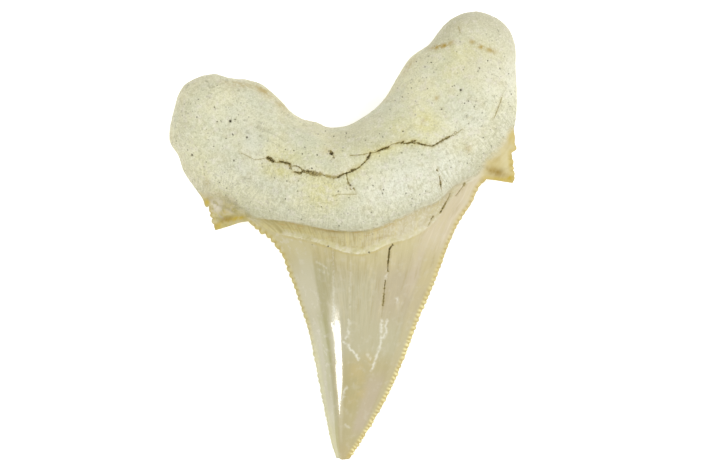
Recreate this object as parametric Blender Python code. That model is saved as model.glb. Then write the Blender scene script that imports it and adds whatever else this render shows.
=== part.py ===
"""Fossil shark tooth, one solid: a two-lobed root, a triangular serrated crown and two side cusplets.

The tooth lies on its labial face, as it does on a table, with the lingual face up. +X is to the
viewer's right, +Y runs from the tip to the root, +Z is up. The drawing below is in millimetres and
the mesh is in metres. The origin is under the middle of the tooth, on the surface it lies on.
"""

import math

import bpy
import numpy as np
from mathutils import Vector
from mathutils.geometry import delaunay_2d_cdt

MM = 0.001

# Main sizes of the tooth
BOSS_HEIGHT = 14.3  # thickest place of the root, above the surface
CROWN_BULGE = 6.1  # how far the crown's lingual face stands above its cutting edges, at its base
BAND_DROP = 0.5  # the strip between the root and the enamel lies this much lower than the enamel
CUTTING_EDGE_WALL = 0.12  # blunt width of the cutting edges
ROOT_RIM_WALL = 0.6
TIP_CHIP_WALL = 0.8

# Serrations: how many, their pitch at the tip over that at the base, and their depth at base and tip
RIGHT_SERRATIONS = (66, 0.66, 0.26, 0.24)
LEFT_SERRATIONS = (46, 0.62, 0.34, 0.08)
RIGHT_CUSPLET_SERRATIONS = (5, 0.9, 0.24, 0.20)
LEFT_CUSPLET_SERRATIONS = (4, 0.9, 0.24, 0.20)
# One serration, from gap to gap towards the tip: share of its pitch, and share of its depth
SERRATION = [(0.0, -0.5), (0.26, 0.28), (0.52, 0.5), (0.80, 0.34)]

# Mesh spacings
ROOT_SPACING = 1.25
TOP_SPACING = 1.12
UNDER_SPACING = 1.7
LINE_SPACING = 0.95

# The silhouette, seen from above. Each run goes on from the end of the one before it.
RIGHT_EDGE = [
    (20.10, 7.97), (18.97, 6.70), (17.95, 4.45), (16.36, 2.15), (15.25, -0.25), (14.25, -2.75),
    (12.65, -6.95), (10.53, -11.90), (8.68, -16.95), (6.68, -21.65), (4.18, -26.25),
    (2.15, -29.45), (0.92, -31.34),
]
LEFT_EDGE = [
    (-13.30, 2.06), (-12.25, 1.10), (-10.17, -0.42), (-8.43, -2.90), (-7.52, -5.20),
    (-5.98, -9.60), (-4.93, -12.90), (-4.10, -16.70), (-3.35, -20.60), (-2.46, -25.10),
    (-1.64, -29.00), (-0.92, -31.20),
]
TIP_CHIP = [(-0.92, -31.20), (-0.55, -31.22), (-0.15, -31.42), (0.92, -31.34)]
RIGHT_CUSPLET_UNDER = [(20.10, 7.97), (21.45, 7.80), (22.60, 7.60), (23.78, 7.42)]
RIGHT_CUSPLET_OUTER = [(23.78, 7.42), (24.08, 8.30), (23.86, 9.70), (23.60, 11.65)]
RIGHT_DENTICLE = [
    (23.60, 11.65), (24.30, 12.20), (24.05, 13.00), (24.08, 13.75), (23.95, 14.50), (23.90, 15.00),
]
ROOT_OUTLINE = [
    (23.90, 15.00), (24.03, 15.70), (24.23, 17.20), (24.32, 20.20), (24.15, 23.50), (24.13, 26.20),
    (23.55, 28.25), (22.38, 29.84), (20.60, 30.90), (18.40, 31.40), (16.10, 30.85), (14.43, 29.75),
    (13.14, 28.20), (11.96, 26.71), (10.35, 25.65), (9.10, 24.55), (7.60, 22.20), (6.27, 19.84),
    (4.62, 17.93), (2.45, 16.38), (0.70, 15.50), (-0.90, 15.20), (-2.30, 15.28), (-3.60, 15.88),
    (-5.50, 16.33), (-7.10, 17.24), (-8.58, 18.84), (-9.98, 20.17), (-11.50, 21.30),
    (-13.50, 21.86), (-15.60, 22.05), (-18.00, 22.65), (-20.35, 22.15), (-22.15, 21.10),
    (-23.08, 19.50), (-23.65, 17.40), (-24.16, 15.00), (-24.14, 13.05), (-23.04, 11.28),
    (-22.30, 9.12), (-21.10, 7.24), (-19.96, 5.72),
]
LEFT_DENTICLE = [(-19.96, 5.72), (-19.55, 4.98), (-19.36, 4.30), (-19.08, 4.04), (-18.80, 4.20)]
LEFT_CUSPLET_OUTER = [(-18.80, 4.20), (-18.60, 3.30), (-18.26, 2.20), (-17.92, 0.80)]
LEFT_CUSPLET_UNDER = [(-17.92, 0.80), (-16.10, 1.33), (-14.55, 1.85), (-13.30, 2.06)]

# Lines across the lingual face: the foot of the root, and the upper border of the enamel below it
ROOT_FOOT = [
    (-21.60, 5.90), (-19.40, 5.75), (-17.20, 5.35), (-15.40, 4.85), (-14.00, 3.60), (-12.40, 2.60),
    (-9.60, 2.20), (-6.00, 1.68), (-2.00, 0.80), (1.30, 0.62), (4.20, 0.98), (7.70, 2.45),
    (11.40, 4.05), (13.50, 5.00), (15.80, 7.15), (18.90, 8.75), (20.30, 10.70), (22.10, 12.50),
    (23.00, 14.20), (24.80, 15.60),
]
ENAMEL_LINE = [
    (-13.60, 2.50), (-12.20, 1.80), (-9.50, 0.50), (-6.00, -0.30), (-3.00, -1.10), (0.50, -2.25),
    (2.40, -2.45), (4.20, -2.05), (6.30, -1.10), (9.50, -0.20), (12.40, 1.60), (14.80, 4.55),
    (17.00, 7.15), (20.60, 8.60),
]
# The enamel's border on the labial face, which lies underneath
LABIAL_LINE = [
    (-22.00, 5.60), (-20.00, 5.95), (-15.50, 6.70), (-10.00, 6.40), (-4.00, 5.50), (2.00, 5.40),
    (8.50, 7.20), (14.50, 10.30), (19.50, 13.30), (23.20, 15.10), (25.00, 15.60),
]

# Cracks in the lingual face
ROOT_CRACK = [
    (-10.42, 10.86), (-9.65, 10.36), (-8.16, 10.18), (-7.33, 9.89), (-6.50, 8.95), (-5.40, 8.92),
    (-3.66, 8.54), (-1.28, 8.09), (-0.25, 8.31), (1.26, 8.99), (2.60, 9.77), (3.67, 11.02),
    (4.70, 11.63), (6.26, 12.23), (7.50, 12.80), (9.33, 12.88), (10.90, 12.64), (12.34, 12.42),
    (14.66, 13.70),
]
ENAMEL_CRACK = [(6.80, -1.25), (6.35, -1.95), (6.25, -4.70), (5.85, -7.00), (5.55, -10.20)]
CRACK_WIDTH = 0.34
CRACK_DEPTH = 0.40
# The larger pores of the root: place, then radius
PORES = [
    (-15.60, 15.92, 0.42), (16.31, 20.19, 0.36), (-1.59, 11.49, 0.34), (-14.42, 16.81, 0.24),
    (-13.31, 13.68, 0.22), (-16.20, 13.55, 0.26), (-15.11, 10.48, 0.26), (-19.39, 9.65, 0.24),
    (18.19, 17.88, 0.26), (18.68, 22.81, 0.28), (20.08, 24.31, 0.24), (23.28, 18.02, 0.24),
    (8.29, 14.47, 0.24), (9.30, 21.62, 0.24), (19.52, 13.66, 0.26),
]

# Heights of the root's lingual face, in millimetres above the surface, at places (x, y)
ROOT_HEIGHTS = {
    (0.0, 6.0): BOSS_HEIGHT, (-1.0, 1.6): 11.6, (-7.0, 6.5): 12.9, (8.0, 7.8): 13.2,
    (-12.0, 6.6): 10.2, (14.0, 9.8): 10.8, (-1.0, 11.5): 12.0, (-9.0, 12.5): 11.0,
    (8.0, 14.5): 11.2, (-17.5, 8.6): 8.0, (20.5, 13.8): 7.8, (-18.2, 15.4): 9.2, (-15.5, 19.8): 8.7,
    (16.5, 20.0): 10.2, (19.4, 26.8): 9.0, (-22.3, 13.6): 8.2, (12.6, 22.4): 9.4,
}
ROOT_HEIGHT_REACH = 4.6  # each height above is felt this far around its place

# Heights of the labial face over the surface. The negative ones are worn flat, and the tooth rests there.
LABIAL_HEIGHTS = {
    (-18.0, 15.0): -0.20, (18.8, 22.5): -0.20, (0.6, -23.5): 0.10, (0.0, 10.5): 0.75,
    (-9.0, 12.5): 0.55, (9.5, 15.0): 0.60, (0.5, 2.0): 0.70, (2.0, -6.0): 0.85, (1.5, -14.5): 0.80,
    (-14.0, 4.0): 0.70, (18.0, 9.0): 0.70, (0.0, -31.0): 0.40, (-11.0, 17.5): 0.35,
    (13.5, 24.0): 0.35,
}
LABIAL_HEIGHT_REACH = 4.4
ENAMEL_THICKNESS = 0.28  # the enamel stands this far proud of the root on the labial face

# Height of the silhouette's edge, and of the crown's lingual bulge over it, along the tooth
EDGE_HEIGHT = [
    (-31.4, 0.95), (-24.0, 1.35), (-12.0, 1.80), (0.0, 2.30), (8.0, 3.20), (15.0, 4.20),
    (31.5, 4.30),
]
CROWN_HEIGHT = [
    (-31.4, 0.06), (-29.0, 0.19), (-25.0, 0.36), (-18.0, 0.58), (-10.0, 0.78), (-3.0, 0.96),
    (2.0, 1.04), (12.0, 1.10),
]
# The crown's profile across, from its left edge at share 0 of its width to its right edge at 1. A steep
# flat facet runs from the left edge to a ridge, a second one from there to a bend, both given from the
# tip up to the root. Past the bend come a gentle plane, the summit and the long fall to the right edge,
# given as slopes.
FACET_RIDGE = [
    (-31.4, 0.22), (-28.0, 0.20), (-24.0, 0.190), (-20.0, 0.182), (-15.0, 0.163), (-12.0, 0.160),
    (-9.0, 0.170), (-6.2, 0.180), (-3.7, 0.188), (-2.0, 0.200), (3.0, 0.23),
]
FACET_BEND = [
    (-31.4, 0.29), (-26.0, 0.250), (-24.0, 0.230), (-22.0, 0.213), (-19.0, 0.197), (-15.5, 0.189),
    (-12.0, 0.190), (-9.5, 0.216), (-6.5, 0.265), (-2.0, 0.335), (3.0, 0.365),
]
SECOND_FACET_SLOPE = [(-31.4, 2.3), (-12.0, 2.5), (-2.0, 2.1), (3.0, 1.6)]
BEND_HEIGHT = 0.86  # the crown's height at the bend, where 1 is its summit
SLOPES_PAST_BEND = [
    (0.0, 1.02), (0.055, 0.87), (0.155, 0.665), (0.23, 0.0), (0.35, -0.8), (0.48, -1.38),
    (0.61, -1.72), (0.74, -1.77), (0.87, -1.44), (0.935, -1.0), (1.0, -0.15),
]
FOOT_STEP = 0.42  # share of the root's rise that its crisp foot takes, apart from near the cusplets


def resample(line, spacing):
    """The same line with its points evenly spaced, both ends kept."""
    run = np.r_[0.0, np.cumsum(np.linalg.norm(np.diff(line, axis=0), axis=1))]
    count = max(2, int(round(run[-1] / spacing)) + 1)
    places = np.linspace(0.0, run[-1], count)
    return np.c_[np.interp(places, run, line[:, 0]), np.interp(places, run, line[:, 1])]


def smooth_line(points, spacing):
    """Evenly spaced points on the Catmull-Rom curve that passes through the given points."""
    p = np.array(points, float)
    p = np.vstack([2 * p[0] - p[1], p, 2 * p[-1] - p[-2]])
    t = np.linspace(0.0, 1.0, 20, endpoint=False)[:, None]
    spans = [
        0.5 * (2 * b + (c - a) * t + (2 * a - 5 * b + 4 * c - d) * t**2 + (3 * b - a - 3 * c + d) * t**3)
        for a, b, c, d in zip(p, p[1:], p[2:], p[3:])
    ]
    return resample(np.vstack(spans + [p[-2:-1]]), spacing)


def joined(runs, spacing):
    """Several runs of drawn points as one line, each run going on from the one before it."""
    line = np.vstack([smooth_line(run, spacing) for run in runs])
    steps = np.linalg.norm(np.diff(line, axis=0), axis=1)
    return line[np.r_[True, steps > 1e-6]]


def point_along(line, share):
    """Points at the given shares of a line's length."""
    run = np.r_[0.0, np.cumsum(np.linalg.norm(np.diff(line, axis=0), axis=1))]
    place = np.asarray(share) * run[-1]
    return np.c_[np.interp(place, run, line[:, 0]), np.interp(place, run, line[:, 1])]


def serrated(points, serrations, inner_side):
    """A cutting edge from its base to its tip, with its serrations cut into it."""
    count, narrowing, base_depth, tip_depth = serrations
    line = smooth_line(points, 0.05)
    steps = np.array([i + place for i in range(count) for place, _ in SERRATION] + [count])
    bite = np.array([rise for _ in range(count) for _, rise in SERRATION] + [0.0])
    share = (narrowing ** (steps / count) - 1.0) / (narrowing - 1.0)
    base = point_along(line, share)
    along = point_along(line, np.minimum(share + 1e-3, 1.0)) - point_along(line, share - 1e-3)
    along /= np.linalg.norm(along, axis=1)[:, None]
    outward = np.c_[along[:, 1], -along[:, 0]] * -inner_side
    depth = np.interp(share, [0.0, 1.0], [base_depth, tip_depth])
    fade = np.minimum(1.0, np.minimum(steps, count - steps) / 1.5)
    return base + outward * (bite * depth * fade)[:, None]


def silhouette():
    """The closed outline, anticlockwise from the tip, with the blunt edge's width at each point."""
    runs = [
        (serrated(RIGHT_EDGE, RIGHT_SERRATIONS, 1.0)[::-1], CUTTING_EDGE_WALL),
        (smooth_line(RIGHT_CUSPLET_UNDER, 0.9), CUTTING_EDGE_WALL),
        (serrated(RIGHT_CUSPLET_OUTER, RIGHT_CUSPLET_SERRATIONS, 1.0), CUTTING_EDGE_WALL),
        (smooth_line(RIGHT_DENTICLE, 0.6), CUTTING_EDGE_WALL),
        (smooth_line(ROOT_OUTLINE, ROOT_SPACING), ROOT_RIM_WALL),
        (smooth_line(LEFT_DENTICLE, 0.6), CUTTING_EDGE_WALL),
        (serrated(LEFT_CUSPLET_OUTER[::-1], LEFT_CUSPLET_SERRATIONS, -1.0)[::-1], CUTTING_EDGE_WALL),
        (smooth_line(LEFT_CUSPLET_UNDER, 0.9), CUTTING_EDGE_WALL),
        (serrated(LEFT_EDGE, LEFT_SERRATIONS, -1.0), CUTTING_EDGE_WALL),
        (smooth_line(TIP_CHIP, 0.5), TIP_CHIP_WALL),
    ]
    points = np.vstack([line for line, _ in runs])
    walls = np.concatenate([np.full(len(line), wall) for line, wall in runs])
    keep = np.linalg.norm(points - np.roll(points, 1, axis=0), axis=1) > 0.02
    points, walls = points[keep], walls[keep]
    walls = (np.roll(walls, 1) + walls + np.roll(walls, -1)) / 3.0
    return points, walls


def gap_to(points, line):
    """Distance from each point to a polyline, positive on the line's left side."""
    a, b = line[:-1], line[1:]
    along = b - a
    away = points[:, None, :] - a[None]
    t = np.clip((away * along).sum(2) / (along**2).sum(1), 0.0, 1.0)
    offset = away - t[:, :, None] * along
    far = np.hypot(offset[:, :, 0], offset[:, :, 1])
    nearest = far.argmin(axis=1)
    rows = np.arange(len(points))
    d, e = along[nearest], away[rows, nearest]
    side = np.sign(d[:, 0] * e[:, 1] - d[:, 1] * e[:, 0])
    return far[rows, nearest] * np.where(side == 0, 1.0, side)


def blended(points, stations, reach):
    """A smooth surface through the heights given at a few places: each place weighs in near it."""
    total, weight = np.zeros(len(points)), np.zeros(len(points))
    for (x, y), height in stations.items():
        w = np.exp(-((points[:, 0] - x) ** 2 + (points[:, 1] - y) ** 2) / reach**2) + 1e-9
        total += w * height
        weight += w
    return total / weight


def ramp(x, width):
    """0 below 0, then a quarter round up to 1 at the given width."""
    t = np.clip(x / width, 0.0, 1.0)
    return np.sqrt(1.0 - (1.0 - t) ** 2)


def soft_step(x, width):
    """A smooth step from 0 to 1 over the given width, centred on 0."""
    t = np.clip(x / width + 0.5, 0.0, 1.0)
    return t * t * (3.0 - 2.0 * t)


class Relief:
    """Heights of both faces at any place inside the silhouette."""

    def __init__(self):
        fine = 0.25
        left = [LEFT_DENTICLE, LEFT_CUSPLET_OUTER, LEFT_CUSPLET_UNDER, LEFT_EDGE]
        right = [RIGHT_DENTICLE[::-1], RIGHT_CUSPLET_OUTER[::-1], RIGHT_CUSPLET_UNDER[::-1], RIGHT_EDGE]
        self.left_side = joined(left, fine)
        self.right_side = joined(right, fine)
        self.rim = joined([run[::-1] for run in left[::-1]] + [ROOT_OUTLINE[::-1]] + right, fine)
        self.foot = smooth_line(ROOT_FOOT, 0.4)
        self.enamel = smooth_line(ENAMEL_LINE, 0.4)
        self.labial = smooth_line(LABIAL_LINE, 0.4)

    def share_across(self, p):
        """Where each point lies across the crown, 0 at the left cutting edge and 1 at the right."""
        to_left = abs(gap_to(p, self.left_side))
        to_right = abs(gap_to(p, self.right_side))
        return to_left / np.maximum(to_left + to_right, 1e-6)

    def edge_height(self, p):
        return np.interp(p[:, 1], *zip(*EDGE_HEIGHT))

    def profile(self, across, y):
        """The crown's height across, 1 at its summit, at each share from its left edge to its right."""
        ridge = np.interp(y, *zip(*FACET_RIDGE))
        bend = np.interp(y, *zip(*FACET_BEND))
        steepness = np.interp(y, *zip(*SECOND_FACET_SLOPE))
        shares = np.linspace(0.0, 1.0, 401)
        slopes = np.interp(shares, *zip(*SLOPES_PAST_BEND)) / 400
        rise, fall = slopes.clip(min=0.0), slopes.clip(max=0.0)
        far = BEND_HEIGHT + np.cumsum(rise - fall / fall.sum() * (BEND_HEIGHT + rise.sum()))
        past = np.interp((across - bend) / (1.0 - bend), shares, far)
        second = BEND_HEIGHT - steepness * (bend - across)
        first = (BEND_HEIGHT - steepness * (bend - ridge)) * across / ridge
        return np.where(across > bend, past, np.where(across > ridge, second, first)).clip(min=0.0)

    def facet_line(self, shares, spacing):
        """Points along the ridge or the bend of the facets, whose shares are given from the tip up."""
        y = np.arange(-29.5, 0.0, spacing)
        x = np.arange(-13.0, 19.0, 0.2)
        places = np.c_[np.tile(x, len(y)), np.repeat(y, len(x))]
        inside = is_inside(places, self.rim).reshape(len(y), -1)
        across = self.share_across(places).reshape(len(y), -1)
        goals = np.interp(y, *zip(*shares))
        found = [np.interp(goal, row[keep], x[keep]) for goal, row, keep in zip(goals, across, inside)]
        return np.c_[found, y]

    def lingual(self, p):
        edge = self.edge_height(p)
        rim = abs(gap_to(p, self.rim))
        across = self.share_across(p)
        dome = self.profile(across, p[:, 1])
        blade = 1.0 - 0.35 * np.exp(-rim / 1.5)
        bulge = CROWN_BULGE * np.interp(p[:, 1], *zip(*CROWN_HEIGHT))
        cusplet = 0.45 * np.clip(rim, 0.0, 1.6)
        crown = edge + ((bulge * dome * blade) ** 3 + cusplet**3) ** (1 / 3)
        over_enamel = gap_to(p, self.enamel)
        crown -= BAND_DROP * soft_step(over_enamel - 0.4, 0.8) * np.clip(rim / 2.5, 0.0, 1.0)
        root_top = blended(p, ROOT_HEIGHTS, ROOT_HEIGHT_REACH)
        root = edge + (root_top - edge) * ramp(rim, 5.4)
        over_foot = gap_to(p, self.foot)
        step = 1.0 - (1.0 - np.clip(over_foot / 1.0, 0.0, 1.0)) ** 2
        swell = 1.0 - (1.0 - np.clip(over_foot / 5.0, 0.0, 1.0)) ** 2
        from_left = np.clip((p[:, 0] + 13.5) / 4.0, 0.0, 1.0)
        crisp = FOOT_STEP * from_left * np.clip((18.5 - p[:, 0]) / 5.0, 0.0, 1.0)
        share = crisp * step + (1.0 - crisp) * swell
        return crown + (root - crown) * share

    def labial_face(self, p):
        edge = self.edge_height(p)
        rim = abs(gap_to(p, self.rim))
        level = blended(p, LABIAL_HEIGHTS, LABIAL_HEIGHT_REACH)
        over_line = gap_to(p, self.labial)
        root = level + (edge - level) * (1.0 - ramp(rim, 4.2))
        across = abs(2.0 * self.share_across(p) - 1.0)
        enamel = level + (edge - level) * across**3.0
        enamel -= ENAMEL_THICKNESS * np.clip(rim / 2.0, 0.0, 1.0)
        height = enamel + (root - enamel) * soft_step(over_line, 0.9)
        return np.maximum(height, 0.0)


def inner_rows(outline, rim, rows):
    """Rows of points at set distances inside the outline, thinned where they crowd."""
    ahead = np.roll(outline, -1, axis=0) - np.roll(outline, 1, axis=0)
    inward = np.c_[-ahead[:, 1], ahead[:, 0]] / np.linalg.norm(ahead, axis=1)[:, None]
    kept = []
    for depth, spacing in rows:
        last = None
        for p in outline + inward * depth:
            if last is None or np.linalg.norm(p - last) >= spacing:
                kept.append(p)
                last = p
        flat = np.array(kept)
        near = abs(gap_to(flat, rim))
        kept = [p for p, d in zip(kept, near) if d > 0.8 * min(depth, rows[0][0] + 0.01)]
    return np.array(kept)


def hexagonal_field(spacing):
    """A field of points on a triangular lattice that covers the tooth."""
    columns = np.arange(-25.0, 25.0, spacing)
    lines = np.arange(-32.0, 32.0, spacing * math.sqrt(3) / 2)
    return np.array([(x + (j % 2) * spacing / 2, y) for j, y in enumerate(lines) for x in columns])


def thinned(points, others, gap):
    """The points that keep a gap to all the others."""
    kept = np.ones(len(points), bool)
    for q in others:
        kept &= (points[:, 0] - q[0]) ** 2 + (points[:, 1] - q[1]) ** 2 > gap**2
    return points[kept]


def spaced(points, gap):
    """The points in order, without those that crowd an earlier one."""
    kept = []
    for p in points:
        if all((p[0] - q[0]) ** 2 + (p[1] - q[1]) ** 2 > gap**2 for q in kept):
            kept.append(p)
    return np.array(kept)


def is_inside(points, outline):
    """Whether each point is inside a closed polygon, by counting the sides to its right."""
    x, y = points[:, 0][:, None], points[:, 1][:, None]
    a, b = outline, np.roll(outline, -1, axis=0)
    spans = (a[:, 1] > y) != (b[:, 1] > y)
    rise = np.where(b[:, 1] == a[:, 1], 1e-12, b[:, 1] - a[:, 1])
    crossing = a[:, 0] + (y - a[:, 1]) * (b[:, 0] - a[:, 0]) / rise
    return (spans & (x < crossing)).sum(axis=1) % 2 == 1


def offset_line(line, gap):
    """The line moved sideways, to its left where the gap is positive."""
    ahead = np.gradient(line, axis=0)
    across = np.c_[-ahead[:, 1], ahead[:, 0]] / np.linalg.norm(ahead, axis=1)[:, None]
    return line + across * gap


def sheet(outline, rows, lines, spacing):
    """One face of the tooth as a flat triangle mesh: its points, the outline's first, and its triangles."""
    loose = thinned(hexagonal_field(spacing), np.vstack([rows] + lines), spacing * 0.62)
    loose = loose[is_inside(loose, outline)]
    loose = thinned(loose, outline, spacing * 0.6)
    inner = np.vstack([loose, rows] + lines)
    inner = inner[is_inside(inner, outline)]
    points = np.vstack([outline, inner])
    count = len(outline)
    ring = [(i, (i + 1) % count) for i in range(count)]
    made = delaunay_2d_cdt([Vector(p) for p in points], ring, [list(range(count))], 1, 1e-7)
    return np.array([tuple(v) for v in made[0]]), [tuple(f) for f in made[2]]


def build_tooth():
    outline, walls = silhouette()
    relief = Relief()
    rim_rows = [(0.22, 0.5), (0.62, 0.75), (1.25, 1.0), (2.1, 1.2)]
    rows = inner_rows(outline, relief.rim, rim_rows)
    rows = spaced(rows[is_inside(rows, outline)], 0.36)
    rows = thinned(rows, outline, 0.16)

    # Points that follow the drawn lines: the cracks, the pores, the root's foot and the enamel's border
    cracks = [smooth_line(ROOT_CRACK, 0.7), smooth_line(ENAMEL_CRACK, 1.2)]
    floors = np.vstack([crack[1:-1] for crack in cracks] + [[(x, y)] for x, y, _ in PORES])
    lips = [offset_line(crack, side * CRACK_WIDTH / 2)[1:-1] for crack in cracks for side in (1, -1)]
    turns = np.linspace(0.0, 2 * math.pi, 7)[:-1]
    ring = np.c_[np.cos(turns), np.sin(turns)]
    lips += [ring * reach + (x, y) for x, y, radius in PORES for reach in (radius, radius + 0.32)]
    lips = np.vstack(lips)
    foot = smooth_line(ROOT_FOOT, LINE_SPACING)
    border = smooth_line(ENAMEL_LINE, LINE_SPACING)
    lines = [offset_line(foot, gap) for gap in (0.0, 0.45, 1.0, 1.75, 2.6)]
    lines += [offset_line(border, gap) for gap in (0.0, 0.8)]
    lines += [relief.facet_line(shares, 1.1) for shares in (FACET_RIDGE, FACET_BEND)]
    lines = np.vstack(lines)
    lines = spaced(lines[is_inside(lines, outline)], 0.4)
    lines = thinned(lines, outline, 0.5)
    lines = thinned(lines, np.vstack([floors, lips]), 0.3)
    rows_above = thinned(rows, np.vstack([lines, floors, lips]), 0.4)

    labial = smooth_line(LABIAL_LINE, 1.2)
    labial_lines = np.vstack([offset_line(labial, gap) for gap in (-0.45, 0.45)])
    labial_lines = thinned(labial_lines[is_inside(labial_lines, outline)], outline, 0.5)
    rows_below = thinned(rows, labial_lines, 0.5)

    top_xy, top_faces = sheet(outline, rows_above, [lines, floors, lips], TOP_SPACING)
    under_xy, under_faces = sheet(outline, rows_below, [labial_lines], UNDER_SPACING)

    count = len(outline)
    edge = relief.edge_height(outline)
    top = np.c_[top_xy, relief.lingual(top_xy)]
    top[:count, 2] = edge + walls / 2
    sunk = np.min(np.linalg.norm(top[:, None, :2] - floors[None], axis=2), axis=1) < 1e-4
    top[sunk, 2] -= CRACK_DEPTH
    under = np.c_[under_xy, relief.labial_face(under_xy)]
    under[:count, 2] = edge - walls / 2

    points = np.vstack([top, under])
    low = len(top)
    faces = list(top_faces)
    faces += [tuple(low + i for i in reversed(f)) for f in under_faces]
    for i in range(count):
        j = (i + 1) % count
        faces += [(i, low + i, low + j), (i, low + j, j)]
    middle = (points.min(axis=0) + points.max(axis=0)) / 2
    points -= (middle[0], middle[1], points[:, 2].min())
    mesh = bpy.data.meshes.new("tooth")
    mesh.from_pydata((points * MM).tolist(), [], faces)
    mesh.validate()
    mesh.shade_smooth()
    mesh.set_sharp_from_angle(angle=math.radians(50))
    return mesh


def fossil_material():
    material = bpy.data.materials.new("fossil")
    material.use_nodes = True
    shader = material.node_tree.nodes["Principled BSDF"]
    shader.inputs["Base Color"].default_value = (0.66, 0.62, 0.46, 1.0)
    shader.inputs["Roughness"].default_value = 0.6
    shader.inputs["Metallic"].default_value = 0.0
    return material


def main():
    for obj in list(bpy.data.objects):
        bpy.data.objects.remove(obj, do_unlink=True)
    mesh = build_tooth()
    mesh.materials.append(fossil_material())
    tooth = bpy.data.objects.new("tooth", mesh)
    bpy.context.scene.collection.objects.link(tooth)


main()
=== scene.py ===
import math

import bpy
import numpy as np
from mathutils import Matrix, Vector
from mathutils.geometry import delaunay_2d_cdt
from mathutils.kdtree import KDTree


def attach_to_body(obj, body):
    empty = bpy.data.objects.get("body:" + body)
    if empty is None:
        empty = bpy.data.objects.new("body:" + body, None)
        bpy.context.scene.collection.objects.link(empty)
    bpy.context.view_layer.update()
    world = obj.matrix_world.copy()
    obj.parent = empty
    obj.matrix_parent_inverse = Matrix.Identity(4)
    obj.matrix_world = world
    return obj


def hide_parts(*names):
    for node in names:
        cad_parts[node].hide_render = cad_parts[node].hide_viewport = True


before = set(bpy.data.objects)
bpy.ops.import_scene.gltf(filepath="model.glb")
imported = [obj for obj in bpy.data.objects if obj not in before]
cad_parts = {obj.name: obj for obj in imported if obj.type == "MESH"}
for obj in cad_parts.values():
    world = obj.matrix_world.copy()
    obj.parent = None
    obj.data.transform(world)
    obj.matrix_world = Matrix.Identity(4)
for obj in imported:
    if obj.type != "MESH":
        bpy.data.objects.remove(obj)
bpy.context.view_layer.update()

# The fossil tooth grew as one piece: a porous, chalky root with two lobes, and a serrated crown with a
# cusplet at each side, under a skin of glossy enamel. It lies on its labial face, tip towards -Y. It is
# drawn in millimetres, made as one smooth closed mesh, then serrated, cracked and bored with pores.
MM = 0.001
RIGHT_EDGE = [
    (20.1, 7.97), (18.97, 6.7), (17.95, 4.45), (16.36, 2.15), (15.25, -0.25), (14.25, -2.75),
    (12.65, -6.95), (10.53, -11.9), (8.68, -16.95), (6.68, -21.65), (4.18, -26.25), (2.15, -29.45),
    (0.92, -31.34),
]
LEFT_EDGE = [
    (-13.3, 2.06), (-12.25, 1.1), (-10.17, -0.42), (-8.43, -2.9), (-7.52, -5.2), (-5.98, -9.6),
    (-4.93, -12.9), (-4.1, -16.7), (-3.35, -20.6), (-2.46, -25.1), (-1.64, -29), (-0.92, -31.2),
]
TIP_CHIP = [(-0.92, -31.2), (-0.55, -31.22), (-0.15, -31.42), (0.92, -31.34)]
RIGHT_CUSPLET_UNDER = [(20.1, 7.97), (21.45, 7.8), (22.6, 7.6), (23.78, 7.42)]
RIGHT_CUSPLET_OUTER = [(23.78, 7.42), (24.08, 8.3), (23.86, 9.7), (23.6, 11.65)]
RIGHT_DENTICLE = [
    (23.6, 11.65), (24.3, 12.2), (24.05, 13), (24.08, 13.75), (23.95, 14.5), (23.9, 15),
]
ROOT_OUTLINE = [
    (23.9, 15), (24.03, 15.7), (24.23, 17.2), (24.32, 20.2), (24.15, 23.5), (24.13, 26.2),
    (23.55, 28.25), (22.38, 29.84), (20.6, 30.9), (18.4, 31.4), (16.1, 30.85), (14.43, 29.75),
    (13.14, 28.2), (11.96, 26.71), (10.35, 25.65), (9.1, 24.55), (7.6, 22.2), (6.27, 19.84),
    (4.62, 17.93), (2.45, 16.38), (0.7, 15.5), (-0.9, 15.2), (-2.3, 15.28), (-3.6, 15.88),
    (-5.5, 16.33), (-7.1, 17.24), (-8.58, 18.84), (-9.98, 20.17), (-11.5, 21.3), (-13.5, 21.86),
    (-15.6, 22.05), (-18, 22.65), (-20.35, 22.15), (-22.15, 21.1), (-23.08, 19.5), (-23.65, 17.4),
    (-24.16, 15), (-24.14, 13.05), (-23.04, 11.28), (-22.3, 9.12), (-21.1, 7.24), (-19.96, 5.72),
]
LEFT_DENTICLE = [(-19.96, 5.72), (-19.55, 4.98), (-19.36, 4.3), (-19.08, 4.04), (-18.8, 4.2)]
LEFT_CUSPLET_OUTER = [(-18.8, 4.2), (-18.6, 3.3), (-18.26, 2.2), (-17.92, 0.8)]
LEFT_CUSPLET_UNDER = [(-17.92, 0.8), (-16.1, 1.33), (-14.55, 1.85), (-13.3, 2.06)]

# Across the lingual face: the foot of the root and the enamel's border; and that border underneath
ROOT_FOOT = [
    (-21.6, 5.9), (-19.4, 5.75), (-17.2, 5.35), (-15.4, 4.85), (-14, 3.6), (-12.4, 2.6),
    (-9.6, 2.2), (-6, 1.68), (-2, 0.8), (1.3, 0.62), (4.2, 0.98), (7.7, 2.45), (11.4, 4.05),
    (13.5, 5), (15.8, 7.15), (18.9, 8.75), (20.3, 10.7), (22.1, 12.5), (23, 14.2), (24.8, 15.6),
]
ENAMEL_LINE = [
    (-13.6, 2.5), (-12.2, 1.8), (-9.5, 0.5), (-6, -0.3), (-3, -1.1), (0.5, -2.25), (2.4, -2.45),
    (4.2, -2.05), (6.3, -1.1), (9.5, -0.2), (12.4, 1.6), (14.8, 4.55), (17, 7.15), (20.6, 8.6),
]
LABIAL_LINE = [
    (-22, 5.6), (-20, 5.95), (-15.5, 6.7), (-10, 6.4), (-4, 5.5), (2, 5.4), (8.5, 7.2),
    (14.5, 10.3), (19.5, 13.3), (23.2, 15.1), (25, 15.6),
]

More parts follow.
